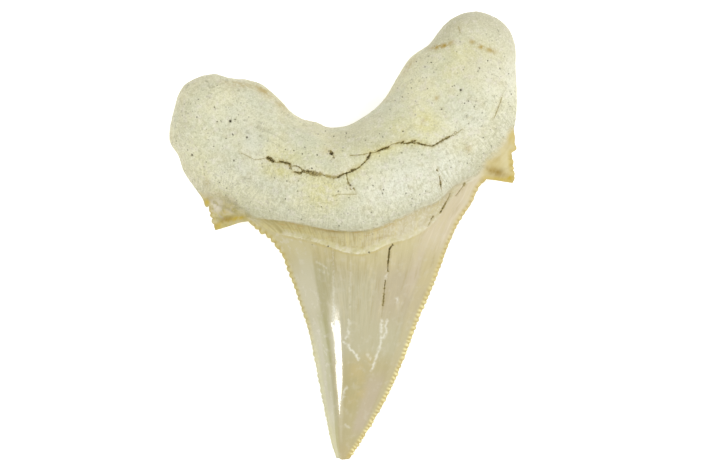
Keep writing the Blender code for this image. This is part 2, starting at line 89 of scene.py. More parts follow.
# Heights over the surface it lies on: of the root's lingual face and of the labial face, at places (x, y)
ROOT_HEIGHTS = {
    (0, 6): 14.3, (-1, 1.6): 11.6, (-7, 6.5): 12.9, (8, 7.8): 13.2, (-12, 6.6): 10.2,
    (14, 9.8): 10.8, (-1, 11.5): 12, (-9, 12.5): 11, (8, 14.5): 11.2, (-17.5, 8.6): 8,
    (20.5, 13.8): 7.8, (-18.2, 15.4): 9.2, (-15.5, 19.8): 8.7, (16.5, 20): 10.2, (19.4, 26.8): 9,
    (-22.3, 13.6): 8.2, (12.6, 22.4): 9.4,
}
LABIAL_HEIGHTS = {
    (-18, 15): -0.2, (18.8, 22.5): -0.2, (0.6, -23.5): 0.1, (0, 10.5): 0.75, (-9, 12.5): 0.55,
    (9.5, 15): 0.6, (0.5, 2): 0.7, (2, -6): 0.85, (1.5, -14.5): 0.8, (-14, 4): 0.7, (18, 9): 0.7,
    (0, -31): 0.4, (-11, 17.5): 0.35, (13.5, 24): 0.35,
}
EDGE_HEIGHT = [(-31.4, 0.95), (-24, 1.35), (-12, 1.8), (0, 2.3), (8, 3.2), (15, 4.2), (31.5, 4.3)]
CROWN_HEIGHT = [
    (-31.4, 0.06), (-29, 0.19), (-25, 0.36), (-18, 0.58), (-10, 0.78), (-3, 0.96), (2, 1.04),
    (12, 1.1),
]
# The crown's profile across, from its left edge at 0 to its right edge at 1: a steep flat facet runs from
# the left edge to a ridge, a second one from there to a bend, both given from the tip up to the root; past
# the bend come a gentle plane, the summit and the long fall to the right edge, given as slopes
FACET_RIDGE = [
    (-31.4, 0.22), (-28, 0.2), (-24, 0.19), (-20, 0.182), (-15, 0.163), (-12, 0.16), (-9, 0.17),
    (-6.2, 0.18), (-3.7, 0.188), (-2, 0.2), (3, 0.23),
]
FACET_BEND = [
    (-31.4, 0.29), (-26, 0.25), (-24, 0.23), (-22, 0.213), (-19, 0.197), (-15.5, 0.189),
    (-12, 0.19), (-9.5, 0.216), (-6.5, 0.265), (-2, 0.335), (3, 0.365),
]
SECOND_FACET_SLOPE = [(-31.4, 2.3), (-12, 2.5), (-2, 2.1), (3, 1.6)]
BEND_HEIGHT = 0.86
SLOPES_PAST_BEND = [
    (0, 1.02), (0.055, 0.87), (0.155, 0.665), (0.23, 0), (0.35, -0.8), (0.48, -1.38), (0.61, -1.72),
    (0.74, -1.77), (0.87, -1.44), (0.935, -1), (1, -0.15),
]
CROWN_BULGE = 6.1
BAND_DROP, BAND_STEP, BAND_RIM = 0.5, 0.8, 2.5
EDGE_HOLLOW, HOLLOW_REACH = 0.35, 1.5
CUSPLET_SLOPE, CUSPLET_REACH = 0.45, 1.6
ROOT_ROUNDING, LABIAL_ROUNDING = 5.4, 4.2
ROOT_REACH, LABIAL_REACH = 4.6, 4.4
FOOT_STEP, FOOT_SWELL, FOOT_CRISPNESS = 1.0, 5.0, 0.42
DEEP_CRACK, CRACK_HALO = 0.4, 0.32
ENAMEL_THICKNESS, ENAMEL_STEP = 0.28, 0.9
CUTTING_EDGE_WALL, ROOT_RIM_WALL, TIP_CHIP_WALL = 0.08, 0.3, 0.8

# Cracks, as (width at both ends, depth, darkness, points): the long one across the root with its branches,
# the one in the enamel, and the slits low on the right of the root
CRACKS = [
    (0.03, 0.03, 0.04, 0.25, (-14.38, 12.57), (-14.34, 11.57), (-14, 11.44)),
    (0.03, 0.06, 0.08, 0.42,
     (-14, 11.44), (-13.65, 11.32), (-12.18, 10.59), (-11.29, 10.63), (-10.66, 10.77)),
    (0.3, 0.32, 0.38, 1, (-10.25, 10.76), (-10.02, 10.61), (-9.65, 10.36)),
    (0.29, 0.26, 0.19, 0.5, (-9.67, 10.36), (-9.18, 10.17), (-8.68, 10.25)),
    (0.18, 0.28, 0.34, 0.9, (-8.66, 10.29), (-8.16, 10.18), (-7.75, 10.08), (-7.28, 9.89)),
    (0.33, 0.29, 0.19, 0.55, (-7.33, 9.89), (-7.2, 9.56), (-7.07, 9.23)),
    (0.12, 0.14, 0.11, 0.75, (-7.19, 9.64), (-6.37, 9.65), (-5.82, 9.38), (-5.46, 9.03)),
    (0.24, 0.24, 0.3, 0.95, (-6.67, 8.84), (-6.23, 8.73), (-5.84, 8.66)),
    (0.17, 0.18, 0.15, 0.7, (-5.87, 8.67), (-5.26, 8.87)),
    (0.46, 0.52, 0.24, 0.7, (-5.4, 8.92), (-4.92, 8.86), (-4.3, 8.7), (-3.67, 8.55)),
    (0.5, 0.34, 0.21, 0.54, (-3.66, 8.54), (-2.92, 8.47), (-2.1, 8.23), (-1.28, 8.09), (-0.56, 8.1)),
    (0.2, 0.32, 0.3, 1, (-0.7, 8.07), (-0.25, 8.31), (0.23, 8.56), (0.78, 8.72), (1.26, 8.99), (1.69, 9.15)),
    (0.16, 0.13, 0.2, 0.8, (1.66, 9.14), (2.16, 9.39), (2.6, 9.77), (3.13, 10.29), (3.45, 10.76)),
    (0.22, 0.24, 0.34, 1, (3.46, 10.74), (3.67, 11.02), (3.77, 11.39)),
    (0.06, 0.12, 0.16, 0.6, (3.77, 11.39), (4.03, 11.46), (4.4, 11.52), (4.7, 11.63)),
    (0.22, 0.27, 0.32, 1, (4.77, 11.65), (5.25, 11.91), (5.74, 12.07), (6.26, 12.23)),
    (0.14, 0.09, 0.12, 0.55, (6.26, 12.24), (6.56, 12.49), (6.92, 12.7), (7.32, 12.76)),
    (0.15, 0.13, 0.26, 0.8, (7.47, 12.81), (7.7, 12.87)),
    (0.24, 0.21, 0.3, 1, (8.07, 12.84), (8.28, 12.98)),
    (0.12, 0.22, 0.28, 0.9, (8.44, 12.77), (8.91, 12.79), (9.33, 12.88), (9.6, 13.08), (9.96, 13.13)),
    (0.18, 0.1, 0.24, 0.7, (9.55, 12.89), (9.91, 12.8), (10.24, 12.87)),
    (0.24, 0.17, 0.3, 1, (10.54, 12.77), (10.9, 12.64)),
    (0.23, 0.13, 0.22, 0.8, (10.93, 12.64), (11.32, 12.6), (11.81, 12.49), (12.34, 12.42)),
    (0.15, 0.24, 0.26, 0.9, (12.34, 12.43), (12.92, 12.69), (13.54, 13.11), (14.16, 13.45), (14.66, 13.7)),
    (0.09, 0.05, 0.08, 0.5, (14.67, 13.71), (15, 13.9), (15.62, 14.48)),
    (0.06, 0.04, 0.08, 0.45, (15, 13.77), (15.55, 14.07), (16.49, 14.76)),
    (0.15, 0.12, 0.15, 0.75, (0.54, 8.5), (0.61, 7.89), (0.73, 7.45), (0.89, 7.23)),
    (0.34, 0.3, 0.11, 0.5, (0.76, 7.26), (0.98, 7.01)),
    (0.14, 0.12, 0.11, 0.7, (1.05, 6.49), (1.14, 6.41)),
    (0.17, 0.14, 0.15, 0.9, (1.5, 6.57), (1.59, 6.46)),
    (0.3, 0.24, 0.2, 0.9, (-1.66, 11.66), (-1.44, 11.36)),
    (0.16, 0.22, 0.12, 0.5, (-1.4, 11.18), (-1.12, 10.74)),
    (0.05, 0.07, 0.08, 0.5, (1.06, 11.09), (2.34, 11.16), (3.27, 11.32), (3.78, 11.54)),
    (0.05, 0.04, 0.08, 0.4, (-1, 5.62), (-0.22, 5.77), (1.87, 5.73)),
    (0.12, 0.12, 0.12, 0.68, (13, 9.12), (13.08, 9.01)),
    (0.1, 0.24, 0.21, 0.85, (13.36, 8.12), (13.43, 7.71), (13.5, 7.38)),
    (0.22, 0.12, 0.21, 0.85, (13.5, 7.44), (13.58, 6.91)),
    (0.09, 0.07, 0.12, 0.51, (13.58, 6.92), (13.72, 6.2)),
    (0.06, 0.11, 0.12, 0.6, (17.08, 7.4), (16.46, 6.52), (15.86, 5.74)),
    (0.09, 0.12, 0.12, 0.56, (15, 5.98), (14.75, 5.33), (14.38, 4.68)),
    (0.14, 0.22, 0.15, 0.78, (14.38, 4.68), (14.06, 4.1), (13.6, 3.3)),
    (0.14, 0.1, 0.12, 0.68, (12.59, 2.72), (12.39, 2.48)),
    (0.07, 0.06, 0.09, 0.42, (12.31, 2.2), (11.92, 1.45)),
    (0.04, 0.04, 0.08, 0.5, (22.05, 19.22), (21.67, 18.13), (21.01, 16.45)),
    (0.03, 0.03, 0.06, 0.45, (16.06, 29.13), (16.26, 28.24)),
    (0.1, 0.18, 0.17, 1, (6.9, -1.25), (6.5, -1.75)),
    (0.22, 0.22, 0.21, 1, (6.5, -1.75), (6.38, -2.7), (6.3, -3.6)),
    (0.16, 0.05, 0.15, 0.95, (6.3, -3.6), (6.24, -4.85)),
    (0.11, 0.08, 0.11, 0.85, (5.92, -6.2), (5.82, -7.1), (5.75, -7.8)),
    (0.07, 0.03, 0.08, 0.65, (5.75, -7.8), (5.67, -8.8), (5.6, -9.7)),
    (0.03, 0.02, 0.05, 0.3, (5.6, -9.7), (5.52, -10.4), (5.4, -11.2)),
]
# White scratches and growth lines in the enamel, as (width, strength, points); the two at x -1.27 from y
# -8.8 to -12.4 are a painted highlight, the thin head of the left lamp's streak
SCRATCHES_AND_PAINTED_GLINT = [
    (0.1, 0.9, (5.45, -11.8), (5.25, -14.9), (4.6, -17.1), (4, -18.8)),
    (0.09, 0.8, (0.85, -11.6), (0.95, -12.4), (0.7, -13.2), (0.85, -13.6), (0.4, -14.3)),
    (0.13, 1, (0, -14.8), (0.6, -15.05), (1.1, -15.9), (1.5, -16.1), (2.25, -17.3)),
    (0.08, 0.7, (0.65, -21.1), (0.2, -21.6), (0.05, -22.4), (-0.3, -23.4)),
    (0.16, 0.9, (7.55, -8.7), (7.65, -9.2)),
    (0.12, 0.8, (6.25, -11.7), (6, -12.6), (6.15, -13.3), (5.7, -14.1)),
    (0.09, 0.6, (3.45, -16.4), (3.8, -17.3)),
    (0.06, 0.35, (-1.36, -1.5), (-1.34, -4.5), (-1.28, -8.9)),
    # Painted highlight: the thin bright head of the left lamp's streak, weaker where it begins
    (0.09, 0.5, (-1.28, -8.8), (-1.27, -9.9)),
    (0.11, 1.1, (-1.27, -9.8), (-1.27, -12.4)),
    (0.1, 0.6, (6.18, -4.7), (6, -5.5), (5.9, -6.4)),
    (0.04, 0.25, (1.1, -3.4), (1.05, -6.5), (1, -9.9)),
    (0.05, 0.4, (-3.6, -3.6), (-2.3, -4.4)),
    (0.05, 0.35, (-3.4, -4.6), (-2, -5.3)),
    (0.06, 0.5, (0.3, -26.4), (0.9, -26.9)),
]
# Stains, as (x, y, half length, half width, turn in degrees, strength): brown, gold, yellow and bleached
BROWN_STAINS_AND_PAINTED_SHADE = [
    (13.6, 26.35, 1.2, 0.32, 10, 1.5), (17.9, 26.9, 0.45, 0.35, 0, 0.8),
    (19.1, 26.2, 0.45, 0.3, -20, 1.2), (14.9, 26.75, 0.7, 0.3, 30, 0.7),
    (20.4, 25.75, 0.9, 0.35, -20, 0.9), (13, 19.1, 0.45, 0.3, 60, 0.7),
    (-11.1, 20.3, 1.6, 0.5, -30, 0.8), (-14.3, 21.1, 2.6, 0.4, -8, 0.5),
    (-8.5, 18.1, 1, 0.4, -45, 0.6), (11.1, 15.8, 0.7, 0.35, 60, 0.35),
    (9.4, 23.9, 1.2, 0.3, 55, 0.5), (-17.4, 5.9, 1.8, 0.5, -20, 0.3),
    (-2.2, 11.8, 0.8, 0.5, 0, 0.3), (-19, 7.5, 0.5, 0.8, 10, 0.4), (17.4, 12.1, 0.7, 0.7, 0, 0.35),
    # Painted shade: the two below and the first on the line after, at the right cusplet, are the brown
    # fibrous shade under the root's lump
    (21.5, 8.95, 1.4, 0.6, -18, 0.95), (20.5, 9.3, 0.9, 0.3, -38, 0.9),
    (22.7, 8.6, 1, 0.45, -8, 0.5), (-16.3, 2.4, 0.9, 0.4, 15, 0.9), (-9.6, -1, 0.5, 0.22, -50, 0.5),
    (-8.5, -2.8, 0.6, 0.2, -62, 0.5), (-1.2, 0.72, 1.2, 0.12, -8, 0.8),
    (5.4, -0.15, 1.3, 0.16, 12, 0.5), (-3.4, 1.05, 1.4, 0.1, -14, 0.5),
]
GOLD_STAINS = [
    (23.3, 8, 0.85, 0.55, 40, 1.3), (22.3, 7.85, 1.9, 0.32, -8, 1.2),
    (21.2, 10, 0.9, 1.3, -10, 0.35), (-19.1, 4.75, 0.42, 0.5, 0, 1.2),
    (-18.6, 3.2, 0.22, 1, 15, 0.6), (-17.6, 1.4, 0.65, 0.5, 30, 1.2),
    (-14.7, 2.5, 1.7, 0.34, 14, 1.1), (-16.6, 3.3, 1, 0.3, 10, 0.4), (23.4, 14, 0.5, 1.2, 0, 0.7),
    (23.5, 10.3, 0.35, 1.8, 0, 0.6), (-11.6, 0.6, 1.4, 0.26, -40, 0.9),
    (-9.3, -1.7, 1.6, 0.24, -56, 1), (-7.6, -5.2, 2.4, 0.2, -68, 0.8),
    (-6.2, -9.4, 2.6, 0.16, -71, 0.5),
]
YELLOW_STAINS = [
    (-2.5, 5.8, 2.8, 2.2, 0, 1), (-9, 8.9, 2.2, 1, -10, 1.1), (11.2, 15.7, 1.9, 1.5, -20, 1.1),
    (7.9, 14.8, 1.9, 1.7, 0, 0.8), (-1.4, 11.6, 4.2, 0.9, 4, 0.5), (-4.4, 4.9, 1.2, 0.8, 0, 0.5),
    (-2.7, 3.9, 0.8, 1, 0, 0.5), (-3.5, 8.1, 3, 0.7, 0, 0.7), (1.6, 8.8, 2.6, 0.8, 40, 0.7),
    (5.7, 12.1, 3.2, 1.1, 18, 1), (9.5, 13, 2.4, 0.9, 0, 0.8), (16.1, 12.2, 1.5, 1, 0, 0.3),
    (17.6, 25.6, 4.5, 1.6, 0, 0.7), (-7.8, 10.8, 2.8, 1.3, 0, 0.7), (-16.8, 5.5, 4, 2.2, -20, 0.8),
    (-22.3, 17.3, 1, 3, 0, 0.1), (20.3, 10.4, 1.5, 2, 30, 0.4), (-19.3, 9.4, 2, 3, 20, 0.4),
    (15.3, 23.2, 3, 2, 40, 0.4),
]
PALE_STAINS = [
    (7.5, 6.9, 6, 2.3, 25, 1), (14.6, 9.1, 3.4, 2.3, 42, 1), (19.3, 12.4, 2, 2.5, 60, 0.6),
    (20.8, 21.2, 2.2, 4.5, 0, 0.5), (-13.8, 16.8, 4, 3, 0, 0.3), (4, 3.5, 3, 1.5, 5, 0.4),
    (-17.75, 4.35, 0.9, 1.1, -12, 1.4), (-15.9, 3.5, 0.7, 0.35, -30, 0.7),
    (-16.3, 7.5, 4.6, 2.3, -35, 0.65), (18.4, 15.2, 3, 3.6, 0, 0.6), (22.7, 14.4, 1.3, 5, 0, 0.6),
    (-8.4, 7.5, 4.2, 1.5, -12, 0.4), (15.3, 8.9, 3, 2.4, 42, 0.5), (-13.3, 5.5, 2.6, 1.2, -40, 0.5),
    (-12.7, 13.3, 1.4, 5, 10, 0.5), (23.2, 16.3, 0.9, 4, 0, 0.5), (13.6, 7.2, 1.9, 1.7, 40, 1),
    (14.6, 11.6, 2, 3, -20, 0.7), (-13.8, 8.8, 2, 1.6, 0, 0.5), (23.2, 22, 1.2, 5, 0, 0.8),
    (-19.2, 6.8, 1, 1.2, 0, 0.7), (11.8, 6.4, 3.2, 1.5, 38, 0.9),
]


def run_of(line):
    """How far along the line each of its points is."""
    return np.r_[0.0, np.cumsum(np.linalg.norm(np.diff(line, axis=0), axis=1))]


def resample(line, spacing):
    """The same line with its points evenly spaced, both ends kept."""
    run = run_of(line)
    count = max(2, int(round(run[-1] / spacing)) + 1)
    places = np.linspace(0.0, run[-1], count)
    return np.c_[np.interp(places, run, line[:, 0]), np.interp(places, run, line[:, 1])]


def smooth_line(points, spacing):
    """Evenly spaced points on the Catmull-Rom curve that passes through the given points."""
    p = np.array(points, float)
    p = np.vstack([2 * p[0] - p[1], p, 2 * p[-1] - p[-2]])
    t = np.linspace(0.0, 1.0, 20, endpoint=False)[:, None]
    spans = [
        0.5 * (2 * b + (c - a) * t + (2 * a - 5 * b + 4 * c - d) * t**2 + (3 * b - a - 3 * c + d) * t**3)
        for a, b, c, d in zip(p, p[1:], p[2:], p[3:])
    ]
    return resample(np.vstack(spans + [p[-2:-1]]), spacing)


def joined(runs, spacing):
    """Several runs of drawn points as one line, each run going on from the one before it."""
    line = np.vstack([smooth_line(run, spacing) for run in runs])
    steps = np.linalg.norm(np.diff(line, axis=0), axis=1)
    return line[np.r_[True, steps > 1e-6]]


def normals_of(line):
    """The unit direction to the left of a line, at each of its points."""
    ahead = np.gradient(line, axis=0)
    return np.c_[-ahead[:, 1], ahead[:, 0]] / np.linalg.norm(ahead, axis=1)[:, None]


def beside(line, gap):
    """The line moved to its left by a gap."""
    return line + normals_of(line) * gap


def tree_of(points):
    """A search tree of flat points."""
    tree = KDTree(len(points))
    for i, (x, y) in enumerate(points):
        tree.insert((x, y, 0.0), i)
    tree.balance()
    return tree


def nearest(points, line):
    """Each point's gap to a finely drawn line, positive on its left, its run along it, and the normal."""
    tree = tree_of(line)
    found = np.array([tree.find((x, y, 0.0))[1] for x, y in points])
    normals = normals_of(line)[found]
    away = points - line[found]
    side = (away * normals).sum(axis=1)
    along = away[:, 0] * normals[:, 1] - away[:, 1] * normals[:, 0]
    steps = np.linalg.norm(np.diff(line, axis=0), axis=1)
    beyond = np.maximum(abs(along) - steps.mean() / 2, 0.0)
    run = np.r_[0.0, np.cumsum(steps)]
    return np.hypot(side, beyond) * np.where(side < 0, -1.0, 1.0), run[found] + along, normals


def blended(points, stations, reach):
    """A smooth surface through the heights given at a few places: each place weighs in near it."""
    total = np.zeros(len(points))
    weight = np.zeros(len(points))
    for (x, y), height in stations.items():
        w = np.exp(-((points[:, 0] - x) ** 2 + (points[:, 1] - y) ** 2) / reach**2) + 1e-9
        total += w * height
        weight += w
    return total / weight


def read(table, places):
    """What a table's rows of (place, value) give at each place, straight between the rows."""
    return np.interp(places, *zip(*table))


def eased(x, width):
    """0 below 0, then ever more slowly up to 1 at the given width."""
    return 1.0 - (1.0 - np.clip(x / width, 0.0, 1.0)) ** 2


def quarter_round(x, width):
    """0 below 0, then a quarter round up to 1 at the given width."""
    return np.sqrt(eased(x, width))


def soft_step(x, width):
    """A smooth step from 0 to 1 over the given width, centred on 0."""
    t = np.clip(x / width + 0.5, 0.0, 1.0)
    return t * t * (3.0 - 2.0 * t)


LINE_SPACING = 0.06
left_runs = [LEFT_DENTICLE, LEFT_CUSPLET_OUTER, LEFT_CUSPLET_UNDER, LEFT_EDGE]
right_runs = [RIGHT_DENTICLE[::-1], RIGHT_CUSPLET_OUTER[::-1], RIGHT_CUSPLET_UNDER[::-1], RIGHT_EDGE]
left_side = joined(left_runs, LINE_SPACING)
right_side = joined(right_runs, LINE_SPACING)
rim_line = joined([run[::-1] for run in left_runs[::-1]] + [ROOT_OUTLINE[::-1]] + right_runs, LINE_SPACING)
foot_line = smooth_line(ROOT_FOOT, LINE_SPACING)
enamel_line = smooth_line(ENAMEL_LINE, LINE_SPACING)
labial_line = smooth_line(LABIAL_LINE, LINE_SPACING)


def share_across(p):
    """Where each point lies across the crown, 0 at the left cutting edge and 1 at the right."""
    to_left = abs(nearest(p, left_side)[0])
    to_right = abs(nearest(p, right_side)[0])
    return to_left / np.maximum(to_left + to_right, 1e-6)


def crown_profile(across, y):
    """The crown's height across, 1 at its summit, at each share from its left edge to its right."""
    ridge = read(FACET_RIDGE, y)
    bend = read(FACET_BEND, y)
    steepness = read(SECOND_FACET_SLOPE, y)
    shares = np.linspace(0.0, 1.0, 401)
    slopes = read(SLOPES_PAST_BEND, shares) / 400
    rise, fall = slopes.clip(min=0.0), slopes.clip(max=0.0)
    far = BEND_HEIGHT + np.cumsum(rise - fall / fall.sum() * (BEND_HEIGHT + rise.sum()))
    past = np.interp((across - bend) / (1.0 - bend), shares, far)
    second = BEND_HEIGHT - steepness * (bend - across)
    first = (BEND_HEIGHT - steepness * (bend - ridge)) * across / ridge
    return np.where(across > bend, past, np.where(across > ridge, second, first)).clip(min=0.0)


def rounded_profile(across, y):
    """The same with its two ridges rounded, more so towards the root."""
    reach = np.interp(y, [-24.0, -12.0, -8.0, -2.0], [0.003, 0.005, 0.014, 0.03])
    sides = ((-1, 0.25), (0, 0.5), (1, 0.25))
    return sum(crown_profile(across + reach * side, y) * share for side, share in sides)


def lingual_face(p):
    """Heights of the upper face, and the guides that the finish follows."""
    edge = read(EDGE_HEIGHT, p[:, 1])
    rim = abs(nearest(p, rim_line)[0])
    across = share_across(p)
    dome = rounded_profile(across, p[:, 1])
    blade = 1.0 - EDGE_HOLLOW * np.exp(-rim / HOLLOW_REACH)
    bulge = CROWN_BULGE * read(CROWN_HEIGHT, p[:, 1])
    cusplet = CUSPLET_SLOPE * np.clip(rim, 0.0, CUSPLET_REACH)
    crown = edge + ((bulge * dome * blade) ** 3 + cusplet**3) ** (1 / 3)
    over_enamel = nearest(p, enamel_line)[0]
    crown -= BAND_DROP * soft_step(over_enamel - BAND_STEP / 2, BAND_STEP) * np.clip(
        rim / BAND_RIM, 0.0, 1.0
    )
    root_top = blended(p, ROOT_HEIGHTS, ROOT_REACH)
    root = edge + (root_top - edge) * quarter_round(rim, ROOT_ROUNDING)
    over_foot = nearest(p, foot_line)[0]
    crisp = FOOT_CRISPNESS * np.clip((p[:, 0] + 13.5) / 4.0, 0.0, 1.0)
    crisp *= np.clip((18.5 - p[:, 0]) / 5.0, 0.0, 1.0)
    share = crisp * eased(over_foot, FOOT_STEP) + (1.0 - crisp) * eased(over_foot, FOOT_SWELL)
    return crown + (root - crown) * share, rim, across, over_foot, over_enamel


def labial_face(p):
    """Heights of the lower face, and the guides that the finish follows."""
    edge = read(EDGE_HEIGHT, p[:, 1])
    rim = abs(nearest(p, rim_line)[0])
    level = blended(p, LABIAL_HEIGHTS, LABIAL_REACH)
    over_line = nearest(p, labial_line)[0]
    root = level + (edge - level) * (1.0 - quarter_round(rim, LABIAL_ROUNDING))
    across = share_across(p)
    enamel = level + (edge - level) * abs(2.0 * across - 1.0) ** 3.0
    enamel -= ENAMEL_THICKNESS * np.clip(rim / 2.0, 0.0, 1.0)
    height = enamel + (root - enamel) * soft_step(over_line, ENAMEL_STEP)
    return np.maximum(height, 0.0), rim, across, over_line, over_line


def spaced(points, gaps, fixed):
    """The points in order, without those too near to an earlier one; the fixed ones all stay."""
    tree = tree_of(points)
    widest = float(gaps.max())
    blocked = np.zeros(len(points), bool)
    for i, (x, y) in enumerate(points):
        if not blocked[i]:
            for _, j, far in tree.find_range((x, y, 0.0), widest):
                if j > i and j >= fixed and far < gaps[j]:
                    blocked[j] = True
    return points[~blocked]


def hexagonal_field(spacing):
    """A field of points on a triangular lattice that covers the tooth."""
    columns = np.arange(-25.0, 25.0, spacing)
    lines = np.arange(-32.0, 32.0, spacing * math.sqrt(3) / 2)
    x, y = np.meshgrid(columns, lines)
    x[1::2] += spacing / 2
    return np.c_[x.ravel(), y.ravel()]


def sheet(outline, rim_rows, lines, root_spacing, crown_spacing, border):
    """One face as a flat triangle mesh: its points, the outline's first, and its triangles."""
    inward = normals_of(np.vstack([outline[-1:], outline, outline[:1]]))[1:-1]
    groups = [(outline, 0.0)] + lines
    groups += [(outline + inward * depth, spacing) for depth, spacing in rim_rows]
    points = np.vstack([group for group, _ in groups])
    gaps = np.concatenate([np.full(len(group), gap) for group, gap in groups])
    inside = nearest(points, outline_line)[0]
    keep = (inside > 0.04) | (np.arange(len(points)) < len(outline))
    points = spaced(points[keep], gaps[keep], len(outline))
    field = np.vstack([hexagonal_field(root_spacing), hexagonal_field(crown_spacing)])
    roots = np.arange(len(field)) < len(hexagonal_field(root_spacing))
    over = nearest(field, border)[0]
    spacing = np.where(roots, root_spacing, crown_spacing)
    field, spacing = field[(over > 0) == roots], spacing[(over > 0) == roots]
    tree = tree_of(points)
    clear = np.array([tree.find((x, y, 0.0))[2] for x, y in field]) > spacing * 0.6
    field = field[clear]
    field = field[nearest(field, outline_line)[0] > 0.1]
    points = np.vstack([points, field])
    count = len(outline)
    ring = [(i, (i + 1) % count) for i in range(count)]
    made = delaunay_2d_cdt([Vector(p) for p in points], ring, [list(range(count))], 1, 1e-8)
    return np.array([tuple(v) for v in made[0]]), [tuple(f) for f in made[2]]


# The outline, anticlockwise from the tip, as (points, their spacing, width of the blunt edge)
EDGE_SPACING = 0.1
outline_runs = [
    (RIGHT_EDGE[::-1], EDGE_SPACING, CUTTING_EDGE_WALL),
    (RIGHT_CUSPLET_UNDER, 0.2, CUTTING_EDGE_WALL),
    (RIGHT_CUSPLET_OUTER, EDGE_SPACING, CUTTING_EDGE_WALL),
    (RIGHT_DENTICLE, 0.2, CUTTING_EDGE_WALL),
    (ROOT_OUTLINE, 0.16, ROOT_RIM_WALL),
    (LEFT_DENTICLE, 0.2, CUTTING_EDGE_WALL),
    (LEFT_CUSPLET_OUTER, EDGE_SPACING, CUTTING_EDGE_WALL),
    (LEFT_CUSPLET_UNDER, 0.2, CUTTING_EDGE_WALL),
    (LEFT_EDGE, EDGE_SPACING, CUTTING_EDGE_WALL),
    (TIP_CHIP, 0.15, TIP_CHIP_WALL),
]
drawn = [(smooth_line(run, spacing)[:-1], wall) for run, spacing, wall in outline_runs]
outline = np.vstack([line for line, _ in drawn])
walls = np.concatenate([np.full(len(line), wall) for line, wall in drawn])
walls = sum(np.roll(walls, shift) for shift in range(-2, 3)) / 5.0
outline_line = resample(np.vstack([outline, outline[:1]]), LINE_SPACING)

# Points along each crack, each of the scratches and the painted highlight line, so that the mesh can carry
# them. A crack wanders, and its width varies
rng = np.random.default_rng(11)


def meander(count, reach):
    """Smooth random values, about -1 to 1, that change over the given number of points."""
    wave = np.convolve(rng.normal(0.0, 1.0, count + 2 * reach), np.hanning(reach + 2), "same")[reach:-reach]
    return np.clip(wave / math.sqrt((np.hanning(reach + 2) ** 2).sum()) / 1.6, -1.0, 1.0)


marks = []
crack_paths = []
for first_width, last_width, depth, darkness, *line in CRACKS:
    path = smooth_line(line, 0.1)
    count = len(path)
    wander = meander(count, 3) * 0.03 + meander(count, 7) * 0.03
    wander *= np.sin(np.linspace(0.0, math.pi, count)) ** 0.4 * min(1.0, depth / DEEP_CRACK)
    path = beside(path, wander[:, None])
    half = np.linspace(first_width, last_width, count) / 2 * (1.0 + 0.5 * meander(count, 3))
    crack_paths.append((path, half, depth, darkness))
    marks += [path + normals_of(path) * half[:, None] * side for side in (0.0, 1.0, -1.0, 1.9, -1.9)]
scratch_and_glint_paths = []
for width, strength, *line in SCRATCHES_AND_PAINTED_GLINT:
    path = smooth_line(line, 0.1)
    path = path + normals_of(path) * meander(len(path), 4)[:, None] * width * 0.4
    scratch_and_glint_paths.append((path, width, strength))
    marks += [beside(path, width / 2 * side) for side in (0.0, 1.0, -1.0)]

# Rows of points for the mesh, each with its spacing: inside the rim, over the root's foot, over the
# enamel's border, and along the two ridges of the crown's facets
RIM_ROWS = [(0.03, 0.10), (0.10, 0.10), (0.20, 0.12), (0.34, 0.14), (0.52, 0.17), (0.75, 0.2)]
foot_rows = [(beside(foot_line, gap), 0.16) for gap in (0.0, 0.12, 0.28, 0.5)]
border_rows = [(beside(enamel_line, gap), 0.2) for gap in (0.0, 0.2)]
facet_rows = []
across_lines = np.arange(-30.8, 2.0, 0.12)
x_steps = np.arange(-14.0, 20.0, 0.2)
grid = np.c_[np.tile(x_steps, len(across_lines)), np.repeat(across_lines, len(x_steps))]
shares = share_across(grid).reshape(len(across_lines), -1)
inner = (nearest(grid, outline_line)[0] > 0.05).reshape(shares.shape)
for table in (FACET_RIDGE, FACET_BEND):
    goal = read(table, across_lines)
    x = [np.interp(share, row[keep], x_steps[keep]) for share, row, keep in zip(goal, shares, inner)]
    line = np.c_[x, across_lines]
    facet_rows += [(beside(line, side), 0.1) for side in (0.0, 0.12, -0.12)]
drawn_rows = [(np.vstack(marks), 0.07)] + facet_rows + foot_rows + border_rows
top_xy, top_faces = sheet(outline, RIM_ROWS, drawn_rows, 0.18, 0.27, foot_line)
under_xy, under_faces = sheet(outline, RIM_ROWS, [], 0.30, 0.36, labial_line)

edge_height = read(EDGE_HEIGHT, outline[:, 1])
top_z, *top_guides = lingual_face(top_xy)
top_z[: len(outline)] = edge_height + walls / 2
under_z, *under_guides = labial_face(under_xy)
under_z[: len(outline)] = edge_height - walls / 2
points_xy = np.vstack([top_xy, under_xy])
low = len(top_xy)
faces = list(top_faces) + [tuple(low + i for i in reversed(f)) for f in under_faces]
for i in range(len(outline)):
    j = (i + 1) % len(outline)
    faces += [(i, low + i, low + j), (i, low + j, j)]
blank = bpy.data.meshes.new("tooth_blank")
middle = (outline.min(axis=0) + outline.max(axis=0)) / 2
points = np.c_[points_xy - middle, np.r_[top_z, under_z]]
blank.from_pydata((points * MM).tolist(), [], faces)

# What each point of the mesh knows: its place across and along the tooth, and the marks near it
guides = {
    name: np.r_[above, below]
    for name, above, below in zip(
        ("rim_gap", "across", "over_foot", "over_enamel"), top_guides, under_guides
    )
}
guides["past_ridge"] = guides["across"] - read(FACET_RIDGE, points_xy[:, 1])
guides["past_bend"] = guides["across"] - read(FACET_BEND, points_xy[:, 1])
guides["upper"] = np.r_[np.ones(low), -np.ones(len(points) - low)]
for name in ("crack", "crack_depth", "crack_near", "scratch_and_painted_glint"):
    guides[name] = np.zeros(len(points))


def mark(name, values):
    """Adds marks to the upper face, where they are stronger than those already there."""
    guides[name][:low] = np.maximum(guides[name][:low], values)


